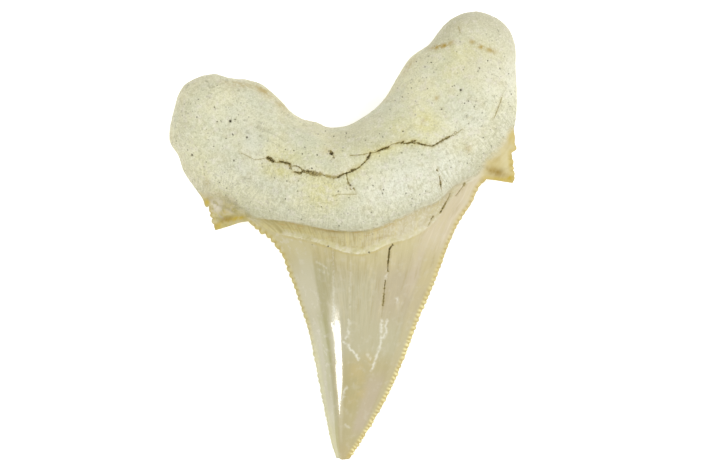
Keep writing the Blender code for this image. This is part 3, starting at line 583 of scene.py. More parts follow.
for path, half, depth, darkness in crack_paths:
    gap, run, _ = nearest(top_xy, path)
    gap = abs(gap)
    opened = np.clip(1.5 - gap / np.interp(run, run_of(path), half), 0.0, 1.0)
    mark("crack", opened * darkness)
    mark("crack_depth", opened * depth)
    mark("crack_near", np.exp(-((gap / CRACK_HALO) ** 2)) * min(1.0, depth / DEEP_CRACK))
for path, width, strength in scratch_and_glint_paths:
    gap = nearest(top_xy, path)[0]
    mark("scratch_and_painted_glint", np.clip(1.5 - abs(gap) / width * 2, 0.0, 1.0) * strength)

STAINS = (("brown", BROWN_STAINS_AND_PAINTED_SHADE), ("gold", GOLD_STAINS), ("yellow", YELLOW_STAINS), ("pale", PALE_STAINS))
for name, stains in STAINS:
    stained = np.zeros(len(points))
    for x, y, length, width, turn, strength in stains:
        cosine, sine = math.cos(math.radians(turn)), math.sin(math.radians(turn))
        from_x, from_y = points_xy[:, 0] - x, points_xy[:, 1] - y
        lengthwise = (from_x * cosine + from_y * sine) / length
        sideways = (from_y * cosine - from_x * sine) / width
        stained = np.maximum(stained, np.exp(-(lengthwise**2) - sideways**2) * strength)
    guides[name] = stained
guides["along_foot"] = nearest(points_xy, foot_line)[1]

# Serrations, as (line, how many, pitch at the tip over that at the base, depth at base and at tip)
SERRATED = [
    (RIGHT_EDGE, 68, 0.65, 0.26, 0.24),
    (LEFT_EDGE, 46, 0.62, 0.38, 0.07),
    (RIGHT_CUSPLET_OUTER, 5, 0.9, 0.30, 0.26),
    (LEFT_CUSPLET_OUTER, 4, 0.9, 0.30, 0.26),
]
FAR_FROM_EDGE = 9.0
NUMBERS_PER_EDGE = 100
serration = np.zeros(len(points))
edge_gap = np.full(len(points), FAR_FROM_EDGE)
edge_depth = np.zeros(len(points))
edge_out = np.zeros((len(points), 3))
for edge, (line, count, narrowing, base_depth, tip_depth) in enumerate(SERRATED):
    path = smooth_line(line, LINE_SPACING)
    gap, run, normals = nearest(points_xy, path)
    share = np.clip(run / np.linalg.norm(np.diff(path, axis=0), axis=1).sum(), 0.0, 1.0)
    steps = count * np.log1p(share * (narrowing - 1.0)) / math.log(narrowing)
    closer = abs(gap) < edge_gap
    edge_gap[closer] = abs(gap)[closer]
    serration[closer] = (NUMBERS_PER_EDGE * edge + steps)[closer]
    fade = np.clip(np.minimum(steps, count - steps) / 1.5, 0.0, 1.0)
    edge_depth[closer] = (np.interp(share, [0.0, 1.0], [base_depth, tip_depth]) * fade)[closer]
    outward = normals * -np.sign(np.median(gap[abs(gap) < 1.0]))
    edge_out[closer, :2] = outward[closer]
guides.update(serration=serration, edge_gap=edge_gap, edge_depth=edge_depth, edge_out=edge_out)


def attach(mesh, name, values):
    """Gives each point of a mesh its value, or its vector, under a name."""
    kind, field = ("FLOAT", "value") if values.ndim == 1 else ("FLOAT_VECTOR", "vector")
    mesh.attributes.new(name, kind, "POINT").data.foreach_set(field, values.ravel().astype(np.float32))


for name, values in guides.items():
    attach(blank, name, values)

# The larger pores, at listed places with their radius; the small ones are scattered
PORES = [
    (-15.6, 15.92, 0.24), (16.31, 20.19, 0.22), (-1.59, 11.49, 0.27), (-14.42, 16.81, 0.12),
    (-13.31, 13.68, 0.19), (-16.2, 13.55, 0.11), (-15.11, 10.48, 0.16), (-19.39, 9.65, 0.11),
    (-21.02, 11.24, 0.2), (-1.3, 10.85, 0.13), (-15.31, 14.14, 0.1), (-3.52, 11.22, 0.17),
    (18.19, 17.88, 0.14), (18.68, 22.81, 0.13), (20.08, 24.31, 0.14), (23.28, 18.02, 0.12),
    (13.64, 17.56, 0.15), (6.52, 17.13, 0.11), (8.29, 14.47, 0.15), (9.3, 21.62, 0.1),
    (15.17, 20.73, 0.12), (15.77, 15.75, 0.11), (17.06, 16.6, 0.11), (21.36, 14.81, 0.11),
    (19.52, 13.66, 0.13), (19.52, 11.53, 0.13), (18.06, 10.67, 0.17), (9.64, 5.15, 0.16),
    (13.02, 9.06, 0.13), (4.15, 7.01, 0.13), (1.5, 6.52, 0.11), (19.37, 20.34, 0.11),
    (17.4, 18.66, 0.1), (-17.69, 17.8, 0.1), (-11.85, 18.98, 0.1), (-10, 10.74, 0.2),
    (-9.67, 10.44, 0.17), (-1.89, 11.74, 0.15), (-2.04, -1.44, 0.12), (-4.25, -1.19, 0.09),
    (4.08, 0.3, 0.12), (3.68, -2.23, 0.12), (1.05, -9.56, 0.08), (3.47, -7.53, 0.07),
    (3.44, -10.2, 0.06), (3.4, -12.19, 0.06), (20.11, 15.72, 0.1), (19.44, 16.85, 0.09),
    (20.76, 12.62, 0.1), (12.12, 24.14, 0.08), (20.7, 20.52, 0.08), (18.44, 24.01, 0.08),
    (19.89, 27.98, 0.08), (21.28, 18.49, 0.09), (17.84, 19.64, 0.08), (10.38, 18.54, 0.08),
    (-14.91, 17.7, 0.08), (-16.15, 17.9, 0.07), (-12.78, 17.45, 0.07),
]
pore_places = np.array(PORES)
pore_heights = lingual_face(pore_places[:, :2])[0]
placed = bpy.data.meshes.new("placed_pores")
placed.from_pydata((np.c_[pore_places[:, :2] - middle, pore_heights] * MM).tolist(), [], [])
attach(placed, "pore_radius", pore_places[:, 2] * MM)
placed_pores = bpy.data.objects.new("placed_pores", placed)
tooth = bpy.data.objects.new("tooth_surface", blank)
bpy.context.scene.collection.objects.link(tooth)


# One node tree wears the tooth: it serrates the cutting edges in rounded beads with a flute behind each gap,
# makes the root lumpy, opens its cracks and bores its pores
def both_ways(operation):
    """The two methods of an operator: with the wire at its left, and at its right."""
    return (
        lambda wire, other: wire.nodes.math(operation, wire, other),
        lambda wire, other: wire.nodes.math(operation, other, wire),
    )


class Wire:
    """One output of a node. Sums, products and powers of wires add Math nodes."""

    def __init__(self, nodes, socket):
        self.nodes = nodes
        self.socket = socket

    __add__, __radd__ = both_ways("ADD")
    __sub__, __rsub__ = both_ways("SUBTRACT")
    __mul__, __rmul__ = both_ways("MULTIPLY")
    __truediv__, __rtruediv__ = both_ways("DIVIDE")
    __pow__, __rpow__ = both_ways("POWER")

    def other(self, out):
        """Another output of the same node."""
        return Wire(self.nodes, self.socket.node.outputs[out])

    def held(self):
        """The value held between 0 and 1."""
        return self.nodes.math("ADD", self, 0, clamp=True)

    def between(self, start, full):
        """0 where the value is at start or short of it, 1 at full or past it, and smooth between."""
        settings = {"interpolation_type": "SMOOTHSTEP"}
        return self.nodes.add("ShaderNodeMapRange", settings, {0: self, 1: start, 2: full})

    def inside(self, start, full, still, end):
        """1 from full to still, fading to 0 at start and at end."""
        return self.between(start, full) * self.between(end, still)


class Nodes:
    """Adds nodes to one tree: the settings are set first, then the sockets get values or links."""

    def __init__(self, tree):
        self.tree = tree

    def add(self, kind, settings=None, sockets=None, out=0):
        node = self.tree.nodes.new(kind)
        for name, value in (settings or {}).items():
            setattr(node, name, value)
        for key, value in (sockets or {}).items():
            if isinstance(value, Wire):
                self.tree.links.new(value.socket, node.inputs[key])
            else:
                node.inputs[key].default_value = value
        return Wire(self, node.outputs[out]) if node.outputs else None

    def math(self, operation, *values, clamp=False):
        settings = {"operation": operation, "use_clamp": clamp}
        return self.add("ShaderNodeMath", settings, dict(enumerate(values)))

    def scaled(self, vector, amount):
        return self.add("ShaderNodeVectorMath", {"operation": "SCALE"}, {0: vector, "Scale": amount})

    def point(self, x, y, z):
        return self.add("ShaderNodeCombineXYZ", {}, {0: x, 1: y, 2: z})


wear_tree = bpy.data.node_groups.new("serrations, cracks and pores", "GeometryNodeTree")
WEAR_INPUTS = {
    "Flute reach": ("NodeSocketFloat", 0.55 * MM),
    "Flute depth": ("NodeSocketFloat", 0.12 * MM),
    "Lump height": ("NodeSocketFloat", 0.3 * MM),
    "Pores per square metre": ("NodeSocketFloat", 700000.0),
    "Smallest pore": ("NodeSocketFloat", 0.055 * MM),
    "Largest pore": ("NodeSocketFloat", 0.15 * MM),
    "Seed": ("NodeSocketInt", 4),
    "Placed pores": ("NodeSocketObject", placed_pores),
}
wear_tree.interface.new_socket("Geometry", in_out="INPUT", socket_type="NodeSocketGeometry")
wear_ids = {
    name: wear_tree.interface.new_socket(name, in_out="INPUT", socket_type=kind).identifier
    for name, (kind, _) in WEAR_INPUTS.items()
}
wear_tree.interface.new_socket("Geometry", in_out="OUTPUT", socket_type="NodeSocketGeometry")
wear = Nodes(wear_tree)
entry = wear_tree.nodes.new("NodeGroupInput")
entries = {socket.name: Wire(wear, socket) for socket in entry.outputs if socket.name}


def named(name, kind="FLOAT"):
    return wear.add("GeometryNodeInputNamedAttribute", {"data_type": kind}, {"Name": name})


def moved(geometry, offset):
    return wear.add("GeometryNodeSetPosition", {}, {"Geometry": geometry, "Offset": offset})


def stored(geometry, name, value):
    sockets = {"Geometry": geometry, "Name": name, "Value": value}
    return wear.add("GeometryNodeStoreNamedAttribute", {"data_type": "FLOAT", "domain": "POINT"}, sockets)


def wobble(scale, detail=2.0):
    """Noise between about -0.5 and 0.5, with features of one over scale metres."""
    where = wear.add("GeometryNodeInputPosition")
    return wear.add("ShaderNodeTexNoise", {}, {"Vector": where, "Scale": scale, "Detail": detail}) - 0.5


def chance(low, high, **sockets):
    """A random value from low to high for each point, or for each ID."""
    sockets = {2: low, 3: high, "Seed": entries["Seed"], **sockets}
    return wear.add("FunctionNodeRandomValue", {"data_type": "FLOAT"}, sockets, out=1)


# Serrations: half sine waves of uneven size along the edge, which fade into the face
step = named("serration") + wobble(900, 1) * 0.9
bead_size = chance(0.5, 1.3, ID=wear.math("FLOOR", step))
bead = wear.math("SINE", wear.math("FRACT", step) * math.pi) ** 0.62
near_edge = named("edge_gap")
depth = named("edge_depth")
worn = wobble(260).between(-0.26, 0.1)
cut = (bead * bead_size - 0.55) * depth * (0.45 + 0.55 * worn)
outward = wear.scaled(
    named("edge_out", "FLOAT_VECTOR"), cut * wear.math("EXPONENT", near_edge / -0.34) * MM
)
serrated_face = depth.between(0, 0.2)
flute_fall = wear.math("EXPONENT", near_edge * -MM / entries["Flute reach"])
flute = (bead - 0.75) * serrated_face * flute_fall * near_edge.between(0, 0.25)
up = wear.point(0, 0, flute * entries["Flute depth"] * named("upper"))
shift = wear.add("ShaderNodeVectorMath", {"operation": "ADD"}, {0: outward, 1: up})
shape = stored(moved(entries["Geometry"], shift), "bead", bead * serrated_face)

# Lumps of the root, and the faint waves of the enamel
root = named("over_foot").between(-0.2, 0.6)
inner = named("rim_gap").between(0, 1.2)
lumps = wobble(210, 3) * 0.9 + wobble(620, 3) * 0.42 + wobble(1700) * 0.16
lumps = lumps * (root * 0.94 + 0.06) * (inner * 0.55 + 0.45) * entries["Lump height"]
rim_lumps = (wobble(1100) * 0.5 + wobble(2600) * 0.3) * root * (1 - inner)
lumps = (lumps + rim_lumps * entries["Lump height"]) * named("upper").between(-1, 0)
shape = moved(shape, wear.scaled(wear.add("GeometryNodeInputNormal"), lumps))

# Cracks are narrow grooves
ragged = wobble(2600).between(-0.5, 0.1) * 0.6 + 0.4
shape = moved(shape, wear.point(0, 0, named("crack_depth") * ragged * -MM))

# Pores: the placed ones, and small ones scattered over the root in drifts
drift = wobble(170, 1).between(-0.22, 0.22) * 0.85 + 0.15
pore_field = root * drift * named("rim_gap").between(0.3, 1)
scattered = wear.add(
    "GeometryNodeDistributePointsOnFaces", {"distribute_method": "POISSON"},
    {"Mesh": shape, "Distance Min": 0.3 * MM, "Density Max": entries["Pores per square metre"],
     "Density Factor": pore_field, "Seed": entries["Seed"]},
)
pore_size = chance(0, 1) ** 2.5
pore_size = pore_size * (entries["Largest pore"] - entries["Smallest pore"]) + entries["Smallest pore"]
scattered = stored(scattered, "pore_radius", pore_size)
read_places = wear.add(
    "GeometryNodeObjectInfo", {"transform_space": "RELATIVE"}, {"Object": entries["Placed pores"]}, out=4
)
read_points = wear.add("GeometryNodeMeshToPoints", {}, {"Mesh": read_places})
all_pores = wear.add("GeometryNodeJoinGeometry")
for part in (scattered, read_points):
    wear_tree.links.new(part.socket, all_pores.socket.node.inputs[0])
pore_gap = wear.add("GeometryNodeProximity", {"target_element": "POINTS"}, {0: all_pores}, out=1)
nearest_pore = wear.add("GeometryNodeSampleNearest", {"domain": "POINT"}, {"Geometry": all_pores})
radius = wear.add(
    "GeometryNodeSampleIndex", {"data_type": "FLOAT", "domain": "POINT"},
    {"Geometry": all_pores, "Value": named("pore_radius"), "Index": nearest_pore},
)
pit = (1.35 - pore_gap / radius).held()
shape = stored(shape, "pore", pit)
shape = moved(shape, wear.scaled(wear.add("GeometryNodeInputNormal"), pit * radius * -1.3))


# Its finish: a chalky pale root with yellowish drifts, dark pores and specks; a browner strip under it; and
# glossy enamel from grey-green to tan, golden at the serrated edges, with white scratches
fossil = bpy.data.materials.new("fossil")
fossil.use_nodes = True
fossil.node_tree.nodes.clear()
look = Nodes(fossil.node_tree)


def linear(*colour):
    """A colour given in 0 to 255, as the linear colour that a node takes."""
    parts = [c / 255 for c in colour]
    return tuple(c / 12.92 if c <= 0.04045 else ((c + 0.055) / 1.055) ** 2.4 for c in parts) + (1.0,)


def mixed(share, first, second):
    """The first colour where the share is 0, the second where it is 1. Plain ones are given in 0 to 255."""
    first, second = (c if isinstance(c, Wire) else linear(*c) for c in (first, second))
    settings = {"data_type": "RGBA", "clamp_factor": True}
    return look.add("ShaderNodeMix", settings, {0: share, 6: first, 7: second}, out=2)


def coated(colour, *coats):
    """The colour under thin coats, each given as its share and its own colour."""
    for share, coat in coats:
        colour = mixed(share, colour, coat)
    return colour


def guide(name):
    return look.add("ShaderNodeAttribute", {"attribute_name": name}, out=2)


place = look.scaled(look.add("ShaderNodeTexCoord", out=3), 1000)


def grain(scale, detail=3, where=place, roughness=0.55):
    """Noise from 0 to 1, with scale features to a millimetre."""
    sockets = {"Vector": where, "Scale": scale, "Detail": detail, "Roughness": roughness}
    return look.add("ShaderNodeTexNoise", {}, sockets)


def patches(scale, start, full, detail=3):
    """Drifts of noise, 0 where it is at start or short of it and 1 where it is full."""
    return grain(scale, detail).between(start, full)


# Places in millimetres: x and y, the height over the root's foot, and the gap to the tooth's rim
x = look.add("ShaderNodeSeparateXYZ", {}, {0: place})
y = x.other(1)
foot = guide("over_foot")
foot_run = guide("along_foot")
rim = guide("rim_gap")
across = guide("across")
over_enamel = guide("over_enamel") + (grain(1.6) - 0.5) * 0.5
soft_foot = x.between(-11, -14) + x.between(13.5, 18)
sharp_share = (foot + (grain(1.3) - 0.5) * 0.5).between(-0.12, 0.22)
worn_share = (foot + (grain(0.8, 4) - 0.5) * 1.8).between(-0.9, 0.6)
root_share = sharp_share * (1 - soft_foot) + worn_share * soft_foot
crown_share = 1 - root_share
enamel_share = 1 - over_enamel.between(-0.12, 0.16)

# Root: chalk, yellowish to white, with fine grain, fibres towards its foot, stains and dark specks; painted
# shade near its foot, along its rim, on its top and under its notch, and painted light on the lip of its
# foot
yellowed = guide("yellow") * (patches(0.9, 0.28, 0.52) * 0.55 + 0.45)
# Painted shade: greyer and darker over the last few millimetres down to the foot, where the root slopes away
# from the light
near_foot = foot.between(3.4, 0.6)
# Darker tan along the rim, in patches: partly the rim's own tan, partly painted shade where the rim rounds
# away from the light
at_rim = rim.between(3.2, 0.3) * patches(0.35, 0.3, 0.62) * (1 - x.between(19, 22) * 0.8)
# Painted shade: darker along the top rim of the right lobe, which faces away from the light
top_rim = rim.between(3, 0.2) * y.between(24, 29.5)
# Painted shade: darker below the notch in the root's upper edge, where the surface slopes away from the
# light
under_notch = x.inside(-3, 0.5, 4.5, 7.5) * y.inside(11.2, 12.8, 14.2, 15.4)
# Painted shade: the upper part of the right lobe a little darker
lobe_top = y.between(19.5, 24) * x.between(15.5, 18)
# Painted shade: darker and greyer low on the left, just over the foot
left_foot = x.inside(-15, -12.5, -10.5, -8) * foot.between(2.8, 0.6)
fibres = grain(4.2, 3, look.point(foot_run, foot * 0.22, 0)).between(0.42, 0.62)
fine = grain(4.6, 4, roughness=0.7)
mottle = grain(2, 3, roughness=0.6)
rough_share = 1 - foot.between(6.5, 10.5) * x.between(-10, -4) * 0.5
flecks = grain(3.2, 2, look.point(foot_run, foot * 0.45, 3)).between(0.6, 0.7)
# The lip just over the root's foot is paler: partly its own paler chalk, partly painted light against the
# shade of its steep face
pale_and_lit_foot_lip = foot.inside(0, 0.1, 0.2, 0.48) * (1 - soft_foot) * patches(0.9, 0.42, 0.6)
browned = guide("brown") * patches(1.6, 0.34, 0.54, 4)
speck_gap = look.add("ShaderNodeTexVoronoi", {"feature": "F1"}, {"Vector": place, "Scale": 1.35})
speck_size = look.add("ShaderNodeSeparateColor", {}, {0: speck_gap.other(1)})
specks = (speck_gap - speck_size * 0.15).between(0.1, -0.02) * patches(0.4, 0.4, 0.6, 2)
chalk = coated(
    mixed(patches(0.16, 0.38, 0.62), (199, 200, 172), (211, 208, 171)),
    (guide("pale") * 0.85, (223, 224, 208)),
    (yellowed * 0.95, (203, 198, 138)),
    (patches(0.5, 0.48, 0.7, 4) * 0.4, (197, 190, 154)),
    (patches(0.62, 0.5, 0.72) * 0.45, (220, 218, 196)),
    # Painted shade near the foot, along the rim, on the top rim, under the notch, on the right lobe's top
    # and low on the left
    (near_foot * 0.4, (197, 197, 174)),
    (at_rim * 0.5, (196, 188, 156)),
    (top_rim * 0.75, (176, 172, 142)),
    (under_notch * 0.45, (180, 178, 148)),
    (lobe_top * 0.35, (196, 192, 168)),
    (left_foot * 0.62, (172, 172, 136)),
    (fibres * foot.between(7, 1) * 0.55, (170, 168, 136)),
    (patches(1.1, 0.54, 0.68, 2) * 0.35, (212, 205, 194)),
    (mottle.between(0.5, 0.68) * rough_share * 0.31, (168, 164, 126)),
    (mottle.between(0.5, 0.34) * rough_share * 0.28, (232, 229, 204)),
    (fine.between(0.5, 0.68) * 0.41, (158, 154, 122)),
    (fine.between(0.48, 0.34) * 0.38, (238, 235, 212)),
    (flecks * rough_share * 0.36, (138, 134, 106)),
    (pale_and_lit_foot_lip * 0.5, (226, 223, 200)),
    (browned * 0.85, (164, 138, 60)),
    (specks * 0.5, (134, 130, 112)),
)

# The strip between the root and the enamel: browner on the left, with streaks running down it, and a painted
# shadow of the root's foot along its top
streaks = grain(2.3, 4, look.point(across * 15, y * 0.1, guide("upper")), 0.6)
light_streaks = streaks.between(0.5, 0.72)
dark_streaks = streaks.between(0.48, 0.3)
thin_streaks = grain(1.6, 3, look.point(across * 60, y * 0.25, 3))
thin_share = x.between(11, 2) * 0.45
at_left = x.between(9.5, 4) * 0.7 + 0.3
# Painted shadow: a thin dark line on the strip just under the root's foot
painted_shadow_under_lip = foot.between(-0.45, -0.05) * patches(0.5, 0.35, 0.6)
flaked = grain(2.8, 4, roughness=0.65)
dashes = grain(1.4, 3, look.point(foot_run * 0.5, foot * 2.6, 9)).between(0.54, 0.64)
dashes = dashes * foot.between(-1.5, -0.3)
foot_fibres = grain(1.5, 3, look.point(foot_run * 0.35, foot * 2, 5))
strip = coated(
    mixed(x.between(-8, 9), (188, 178, 122), (197, 189, 160)),
    (patches(0.8, 0.45, 0.68) * 0.5, (186, 177, 132)),
    (light_streaks * 0.4 + thin_streaks.between(0.5, 0.64) * thin_share, (205, 193, 134)),
    (dark_streaks * 0.3 + thin_streaks.between(0.5, 0.36) * thin_share, (160, 142, 78)),
    # Painted shadow of the root's foot on the top of the strip, broad and then thin
    (foot.between(-1.1, 0) * 0.28, (160, 148, 100)),
    (painted_shadow_under_lip * at_left * 0.42, (154, 136, 76)),
    (flaked.between(0.5, 0.64) * x.between(3, 9) * 0.5, (214, 211, 190)),
    (flaked.between(0.47, 0.36) * (x.between(9, 3) * 0.35 + 0.2), (172, 156, 104)),
    (dashes * at_left * 0.55, (176, 148, 86)),
    (soft_foot * 0.75, mixed(x.between(-5, 5), (196, 189, 154), (213, 204, 178))),
    (foot_fibres.between(0.52, 0.66) * soft_foot * 0.6, (228, 220, 200)),
    (foot_fibres.between(0.48, 0.34) * soft_foot * 0.6, (176, 158, 118)),
)

# Enamel: grey-green on the left facet, olive beside it, tan in the middle and mauve to the right, with a
# painted reflection high by the right edge
facet = coated(
    mixed(y.between(-13.5, -8.5), (182, 176, 144), (193, 187, 157)),
    (y.between(-5.5, -2) * 0.7, (195, 187, 148)),
    (across.between(0.1, 0.135) * y.inside(-24, -21, -12.5, -9.5) * 0.7, (165, 161, 113)),
    (across.between(0.12, 0.02) * y.between(-7, -2) * 0.5, (180, 165, 106)),
    (y.between(-23, -29) * 0.8, (206, 201, 166)),
    (across.between(0.09, 0.05) * y.between(-13, -16) * 0.5, (186, 184, 138)),
)
olive = coated(
    mixed(y.between(-5, -2), (174, 168, 130), (176, 163, 112)),
    (y.inside(-20, -17.5, -12.5, -10) * 0.8, (165, 161, 113)),
    (y.between(-24, -28.5) * 0.8, (186, 179, 134)),
)
blade = coated(
    mixed(y.inside(-18.5, -15.5, -7.5, -3.5), (176, 166, 126), (180, 174, 142)),
    (y.inside(-25.5, -23.5, -20.5, -18) * 0.8, (172, 162, 118)),
    (y.between(-28, -31) * 0.8, (181, 166, 122)),
)
right_half = mixed(y.between(-3.5, -6), (184, 173, 136), (179, 168, 138))
# Painted reflection of the right lamp: a lighter belt high on the crown near its right edge
painted_reflection_belt = across.inside(0.78, 0.84, 0.85, 0.9) * y.between(-9.5, -6.5)
golden_belt = across.between(0.86, 0.9) * (y.between(-9, -6) * 0.5 + 0.5)
mauve = across.inside(0.56, 0.7, 0.82, 0.92) * y.inside(-28.5, -26.5, -21, -18)
warm = across.inside(0.36, 0.48, 0.6, 0.74) * y.inside(-24.5, -22, -18, -15.5) * patches(0.5, 0.3, 0.65)
near_border = over_enamel.between(-3.2, -0.5) * across.between(0.92, 0.8)
beside_cusplet = x.between(9, 12.5) * y.between(-4, 0.8)
ribbons = grain(1.3, 3, look.point(rim * 2.2, y * 0.16, 12))
streaked = y.between(-18, -4) * across.between(0.15, 0.3)
fibrous = across.inside(0.16, 0.24, 0.5, 0.66) * y.between(-17, -7)
hazy = patches(1.1, 0.5, 0.72, 4) * (1 + across.between(0.19, 0.14) * 0.9)
scratches_and_painted_glint = (guide("scratch_and_painted_glint") * (patches(2.2, 0.36, 0.56) * 0.75 + 0.25)).held()
enamel = coated(
    mixed(guide("past_ridge").between(-0.02, 0.004), facet, olive),
    (guide("past_bend").between(-0.012, 0.035), blade),
    (across.between(0.52, 0.7) * y.between(-14, -9), right_half),
    (painted_reflection_belt * 0.6, (193, 180, 154)),
    (golden_belt * 0.9, mixed(y.between(-14, -19), (188, 176, 134), (190, 180, 146))),
    (mauve * 0.65, (183, 170, 149)),
    (warm * 0.45, (190, 172, 120)),
    (near_border * 0.75, (192, 182, 138)),
    (beside_cusplet * 0.9, (201, 189, 160)),
    (ribbons.between(0.5, 0.68) * beside_cusplet * 0.35, (220, 210, 188)),
    (ribbons.between(0.48, 0.32) * beside_cusplet * 0.3, (190, 176, 144)),
    (light_streaks * (streaked * 0.45 + 0.12), (200, 189, 150)),
    (dark_streaks * (streaked * 0.4 + 0.1), (166, 151, 104)),
    (thin_streaks.between(0.5, 0.62) * fibrous * 0.17, (206, 196, 164)),
    (thin_streaks.between(0.5, 0.38) * fibrous * 0.17, (156, 144, 104)),
    (hazy * 0.28, (198, 192, 170)),
    # White scratches, and the painted highlight at the head of the lamp's streak
    (scratches_and_painted_glint * 0.68, (230, 229, 216)),
)

# The three together, and the pale border of the enamel
border_fade = (x.between(-9.4, -7.2) * 0.85 + 0.1) * x.between(15, 10.5) * crown_share
border_fade = border_fade * (1 - x.between(5, 8) * 0.55) * patches(1, 0.22, 0.5)
border_colour = mixed(patches(1.5, 0.48, 0.62), (209, 203, 162), (220, 214, 188))
colour = coated(
    mixed(root_share, strip, chalk),
    (enamel_share * crown_share, enamel),
    (over_enamel.inside(-0.08, 0.05, 0.35, 1) * border_fade, border_colour),
    (over_enamel.inside(-0.45, -0.2, -0.15, -0.02) * border_fade * 0.5, (186, 170, 106)),
)

# The cusplets are duller: tan with a golden rim, the left one mottled olive and grey. Painted shade lies in
# the crease over the left one and under the root's lump on the right one
left_cusplet = x.between(-12.6, -14) * crown_share
right_cusplet = x.between(18.6, 20) * crown_share
blotch = grain(0.85, 4, roughness=0.65)
mottled = coated(
    mixed(blotch.between(0.44, 0.58), (188, 178, 124), (164, 154, 98)),
    (blotch.between(0.44, 0.36), (192, 184, 150)),
    (patches(1.3, 0.5, 0.64) * 0.7, (178, 170, 148)),
    (guide("pale") * patches(1.2, 0.25, 0.5) * 0.95, (209, 201, 180)),
)
tan = coated(
    mixed(patches(0.6, 0.4, 0.65), (202, 190, 140), (192, 178, 128)),
    (x.between(22, 24.2) * y.between(7.8, 8.8) * 0.6, (212, 203, 158)),
)
fanned = grain(1.1, 3, look.point(x * 2.4 - y * 1.1, x * 0.3 + y * 0.5, 7)).between(0.3, 0.58) * 0.45 + 0.55
# Painted shade in the crease between the root's foot and the left cusplet
crease = foot.inside(-0.7, -0.2, 0.1, 0.6) * x.inside(-17.6, -15.8, -13.4, -11.8) * patches(1.7, 0.4, 0.58)
colour = coated(
    colour,
    (left_cusplet * 0.9, mottled),
    (right_cusplet * 0.85, tan),
    (guide("gold") * crown_share * fanned * 0.9, (186, 162, 58)),
    # Brown on the crown: stains, and on the right cusplet the painted shade under the root's lump
    (guide("brown") * crown_share * fanned * 0.9, (146, 118, 36)),
    (crease * 0.32, (134, 130, 92)),
)

# Cutting edges: golden behind the gaps, with pale beads
dull = left_cusplet + right_cusplet
at_right = across.between(0.4, 0.6)
left_gold = mixed(y.between(-10, -20), (192, 178, 110), (212, 207, 166))
outer_edge = rim.between(0.8, 0.05) * crown_share * (1 - left_cusplet * 0.5)
outer_edge = outer_edge * (patches(0.5, 0.3, 0.6) * 0.5 + 0.5)
toothed = guide("edge_depth").between(0, 0.1)
lower_edge = at_right * y.between(-3, -13)
gaps = (1 - guide("bead")).between(0.1, 0.7) * guide("edge_gap").between(0.8, 0.2) * toothed
gap_share = (1 - at_right) * y.between(-17, -6) * 0.5 + at_right * (lower_edge * 0.15 + 0.45)
bead_top = guide("bead").between(0.62, 0.96) * guide("edge_gap").between(0.8, 0.25) * toothed
whiteness = (lower_edge * 0.5 + at_right * 0.12 + 0.18) * (1 - dull * 0.5)
whiteness = whiteness * (patches(0.45, 0.3, 0.58, 2) * 0.7 + 0.3)
colour = coated(
    colour,
    (outer_edge * 0.75, mixed(at_right, left_gold, (196, 176, 104))),
    (gaps * gap_share, mixed(lower_edge, (170, 150, 80), (186, 166, 104))),
    (bead_top * whiteness, mixed(lower_edge, (220, 211, 150), (240, 231, 170))),
)

# Cracks and pores are dark inside, with an ochre halo
crack_in = guide("crack")
pore_in = guide("pore")
dots = (grain(5, 2) + crack_in * 0.34).between(0.66, 0.82) * crack_in.between(0.25, 0.5)
in_enamel = crack_in.between(0.4, 0.7) * enamel_share * crown_share
colour = coated(
    colour,
    (guide("crack_near") * patches(2, 0.35, 0.6) * 0.65, (172, 150, 88)),
    (crack_in.between(0.1, 0.55) * 0.72, (134, 118, 46)),
    (dots * 0.9, (58, 48, 2)),
    (in_enamel * 0.45, (58, 48, 2)),
    (pore_in.between(0.2, 0.85) * 0.9, (72, 66, 46)),
    (pore_in.between(0.7, 0.98) * 0.9, (30, 24, 4)),
)

# Chalk is rough and enamel smooth. Only the enamel's lower left is polished enough to mirror a lamp sharply
rough = root_share * 0.46 + 0.17 + streaks * 0.05 + (1 - enamel_share) * crown_share * 0.22
rough = rough + scratches_and_painted_glint * 0.25 + (hazy * 0.08 + across.between(0.27, 0.36) * 0.1) * enamel_share
rough = rough + dull * crown_share * 0.3
from_middle = look.math("ABSOLUTE", x + 1) * 0.45
polish = enamel_share * crown_share * (1 - dull) * (1 - scratches_and_painted_glint) * y.between(-27.3, -25.4)
polish = polish * crack_in.between(0.15, 0) * pore_in.between(0.1, 0)
polish = polish * (y + (grain(2) - 0.5) * 0.8 + from_middle).between(-8.5, -12.6) ** 1.8
polish = polish * (x + 0.14 - (y + 20.9) * 0.09).between(0.1, -0.1)
chalk_relief = grain(2.4, 5, roughness=0.65) * 0.8 + fine * 0.5 + fibres * near_foot * 0.15 - specks * 0.5
relief = chalk_relief * root_share + crown_share * streaks * 0.1
bump = look.add("ShaderNodeBump", {}, {"Strength": 0.5, "Distance": 0.12 * MM, "Height": relief})
shader = look.add(
    "ShaderNodeBsdfPrincipled", {},
    {"Base Color": colour, "Roughness": rough, "Normal": bump, "IOR": 1.35,
     "Coat Weight": polish, "Coat Roughness": 0.07},
)
look.add("ShaderNodeOutputMaterial", {}, {"Surface": shader})

shape = wear.add("GeometryNodeSetShadeSmooth", {}, {"Geometry": shape})
shape = wear.add("GeometryNodeRealizeInstances", {}, {"Geometry": shape})
shape = wear.add("GeometryNodeSetMaterial", {}, {"Geometry": shape, "Material": fossil})
leave = wear_tree.nodes.new("NodeGroupOutput")
wear_tree.links.new(shape.socket, leave.inputs[0])
made = tooth.modifiers.new("wear", "NODES")
made.node_group = wear_tree
for name, (_, value) in WEAR_INPUTS.items():
    made[wear_ids[name]] = value
worn_mesh = bpy.data.meshes.new_from_object(tooth.evaluated_get(bpy.context.evaluated_depsgraph_get()))
tooth.modifiers.remove(made)
tooth.data = worn_mesh
bpy.data.objects.remove(placed_pores)
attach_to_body(tooth, "root")
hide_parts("tooth")

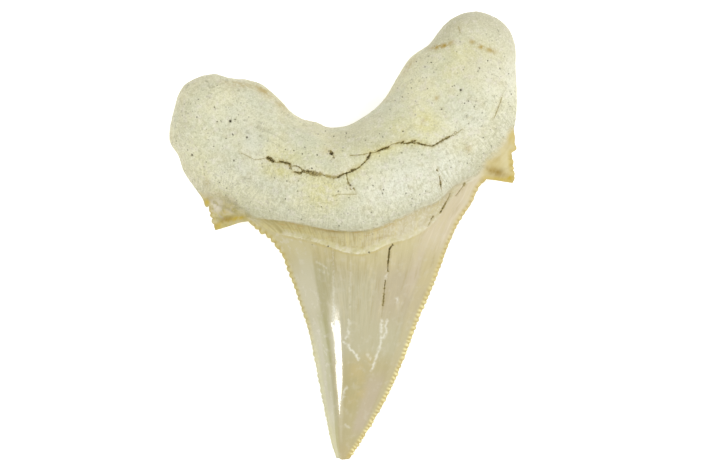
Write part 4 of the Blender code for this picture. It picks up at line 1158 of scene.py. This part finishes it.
# The floor is a sheet of pale matt paper on a softly lit table, wide enough to fill every view. The tooth
# lies loose on it.
floor_mesh = bpy.data.meshes.new("floor")
FLOOR_HALF = 1.5
floor_mesh.from_pydata(
    [(x * FLOOR_HALF, y * FLOOR_HALF, -0.02 * MM) for x, y in ((-1, -1), (1, -1), (1, 1), (-1, 1))],
    [], [(0, 1, 2, 3)],
)
floor = bpy.data.objects.new("floor", floor_mesh)
bpy.context.scene.collection.objects.link(floor)
paper = bpy.data.materials.new("pale_paper")
paper.use_nodes = True
paper_look = {
    "Base Color": (0.9, 0.9, 0.9, 1.0), "Roughness": 0.9,
    "Emission Color": (1.0, 1.0, 1.0, 1.0), "Emission Strength": 0.45,
}
for name, value in paper_look.items():
    paper.node_tree.nodes["Principled BSDF"].inputs[name].default_value = value
floor_mesh.materials.append(paper)

# Even studio light comes from all round, from a soft lamp at the right, and from a narrow lamp low at the
# left, whose reflection is the bright streak on the enamel. The camera looks straight down, through a
# long lens.
scene = bpy.context.scene
scene.view_settings.view_transform = "Standard"
world = bpy.data.worlds.new("studio")
world.use_nodes = True
world.node_tree.nodes["Background"].inputs["Color"].default_value = (1.0, 1.0, 1.0, 1.0)
world.node_tree.nodes["Background"].inputs["Strength"].default_value = 0.745
scene.world = world


def lamp(name, place, aim, size, power):
    light = bpy.data.lights.new(name, "AREA")
    light.shape = "ELLIPSE"
    light.size, light.size_y = size
    light.energy = power
    obj = bpy.data.objects.new(name, light)
    obj.location = place
    obj.rotation_euler = (Vector(aim) - Vector(place)).to_track_quat("-Z", "Y").to_euler()
    scene.collection.objects.link(obj)


lamp("right softbox", (0.46, 0.10, 0.55), (0, 0, 0), (0.45, 0.45), 2.2)
lamp("left strip", (-0.294, -0.236, 0.350), (0, -0.018, 0.006), (0.095, 0.15), 0.58)

camera_data = bpy.data.cameras.new("camera")
camera_data.lens = 180.0
camera_data.sensor_width = 36.0
camera_data.clip_start = 0.01
camera = bpy.data.objects.new("camera", camera_data)
camera.location = (1.52 * MM, 0.03 * MM, 0.499)
scene.collection.objects.link(camera)
scene.camera = camera
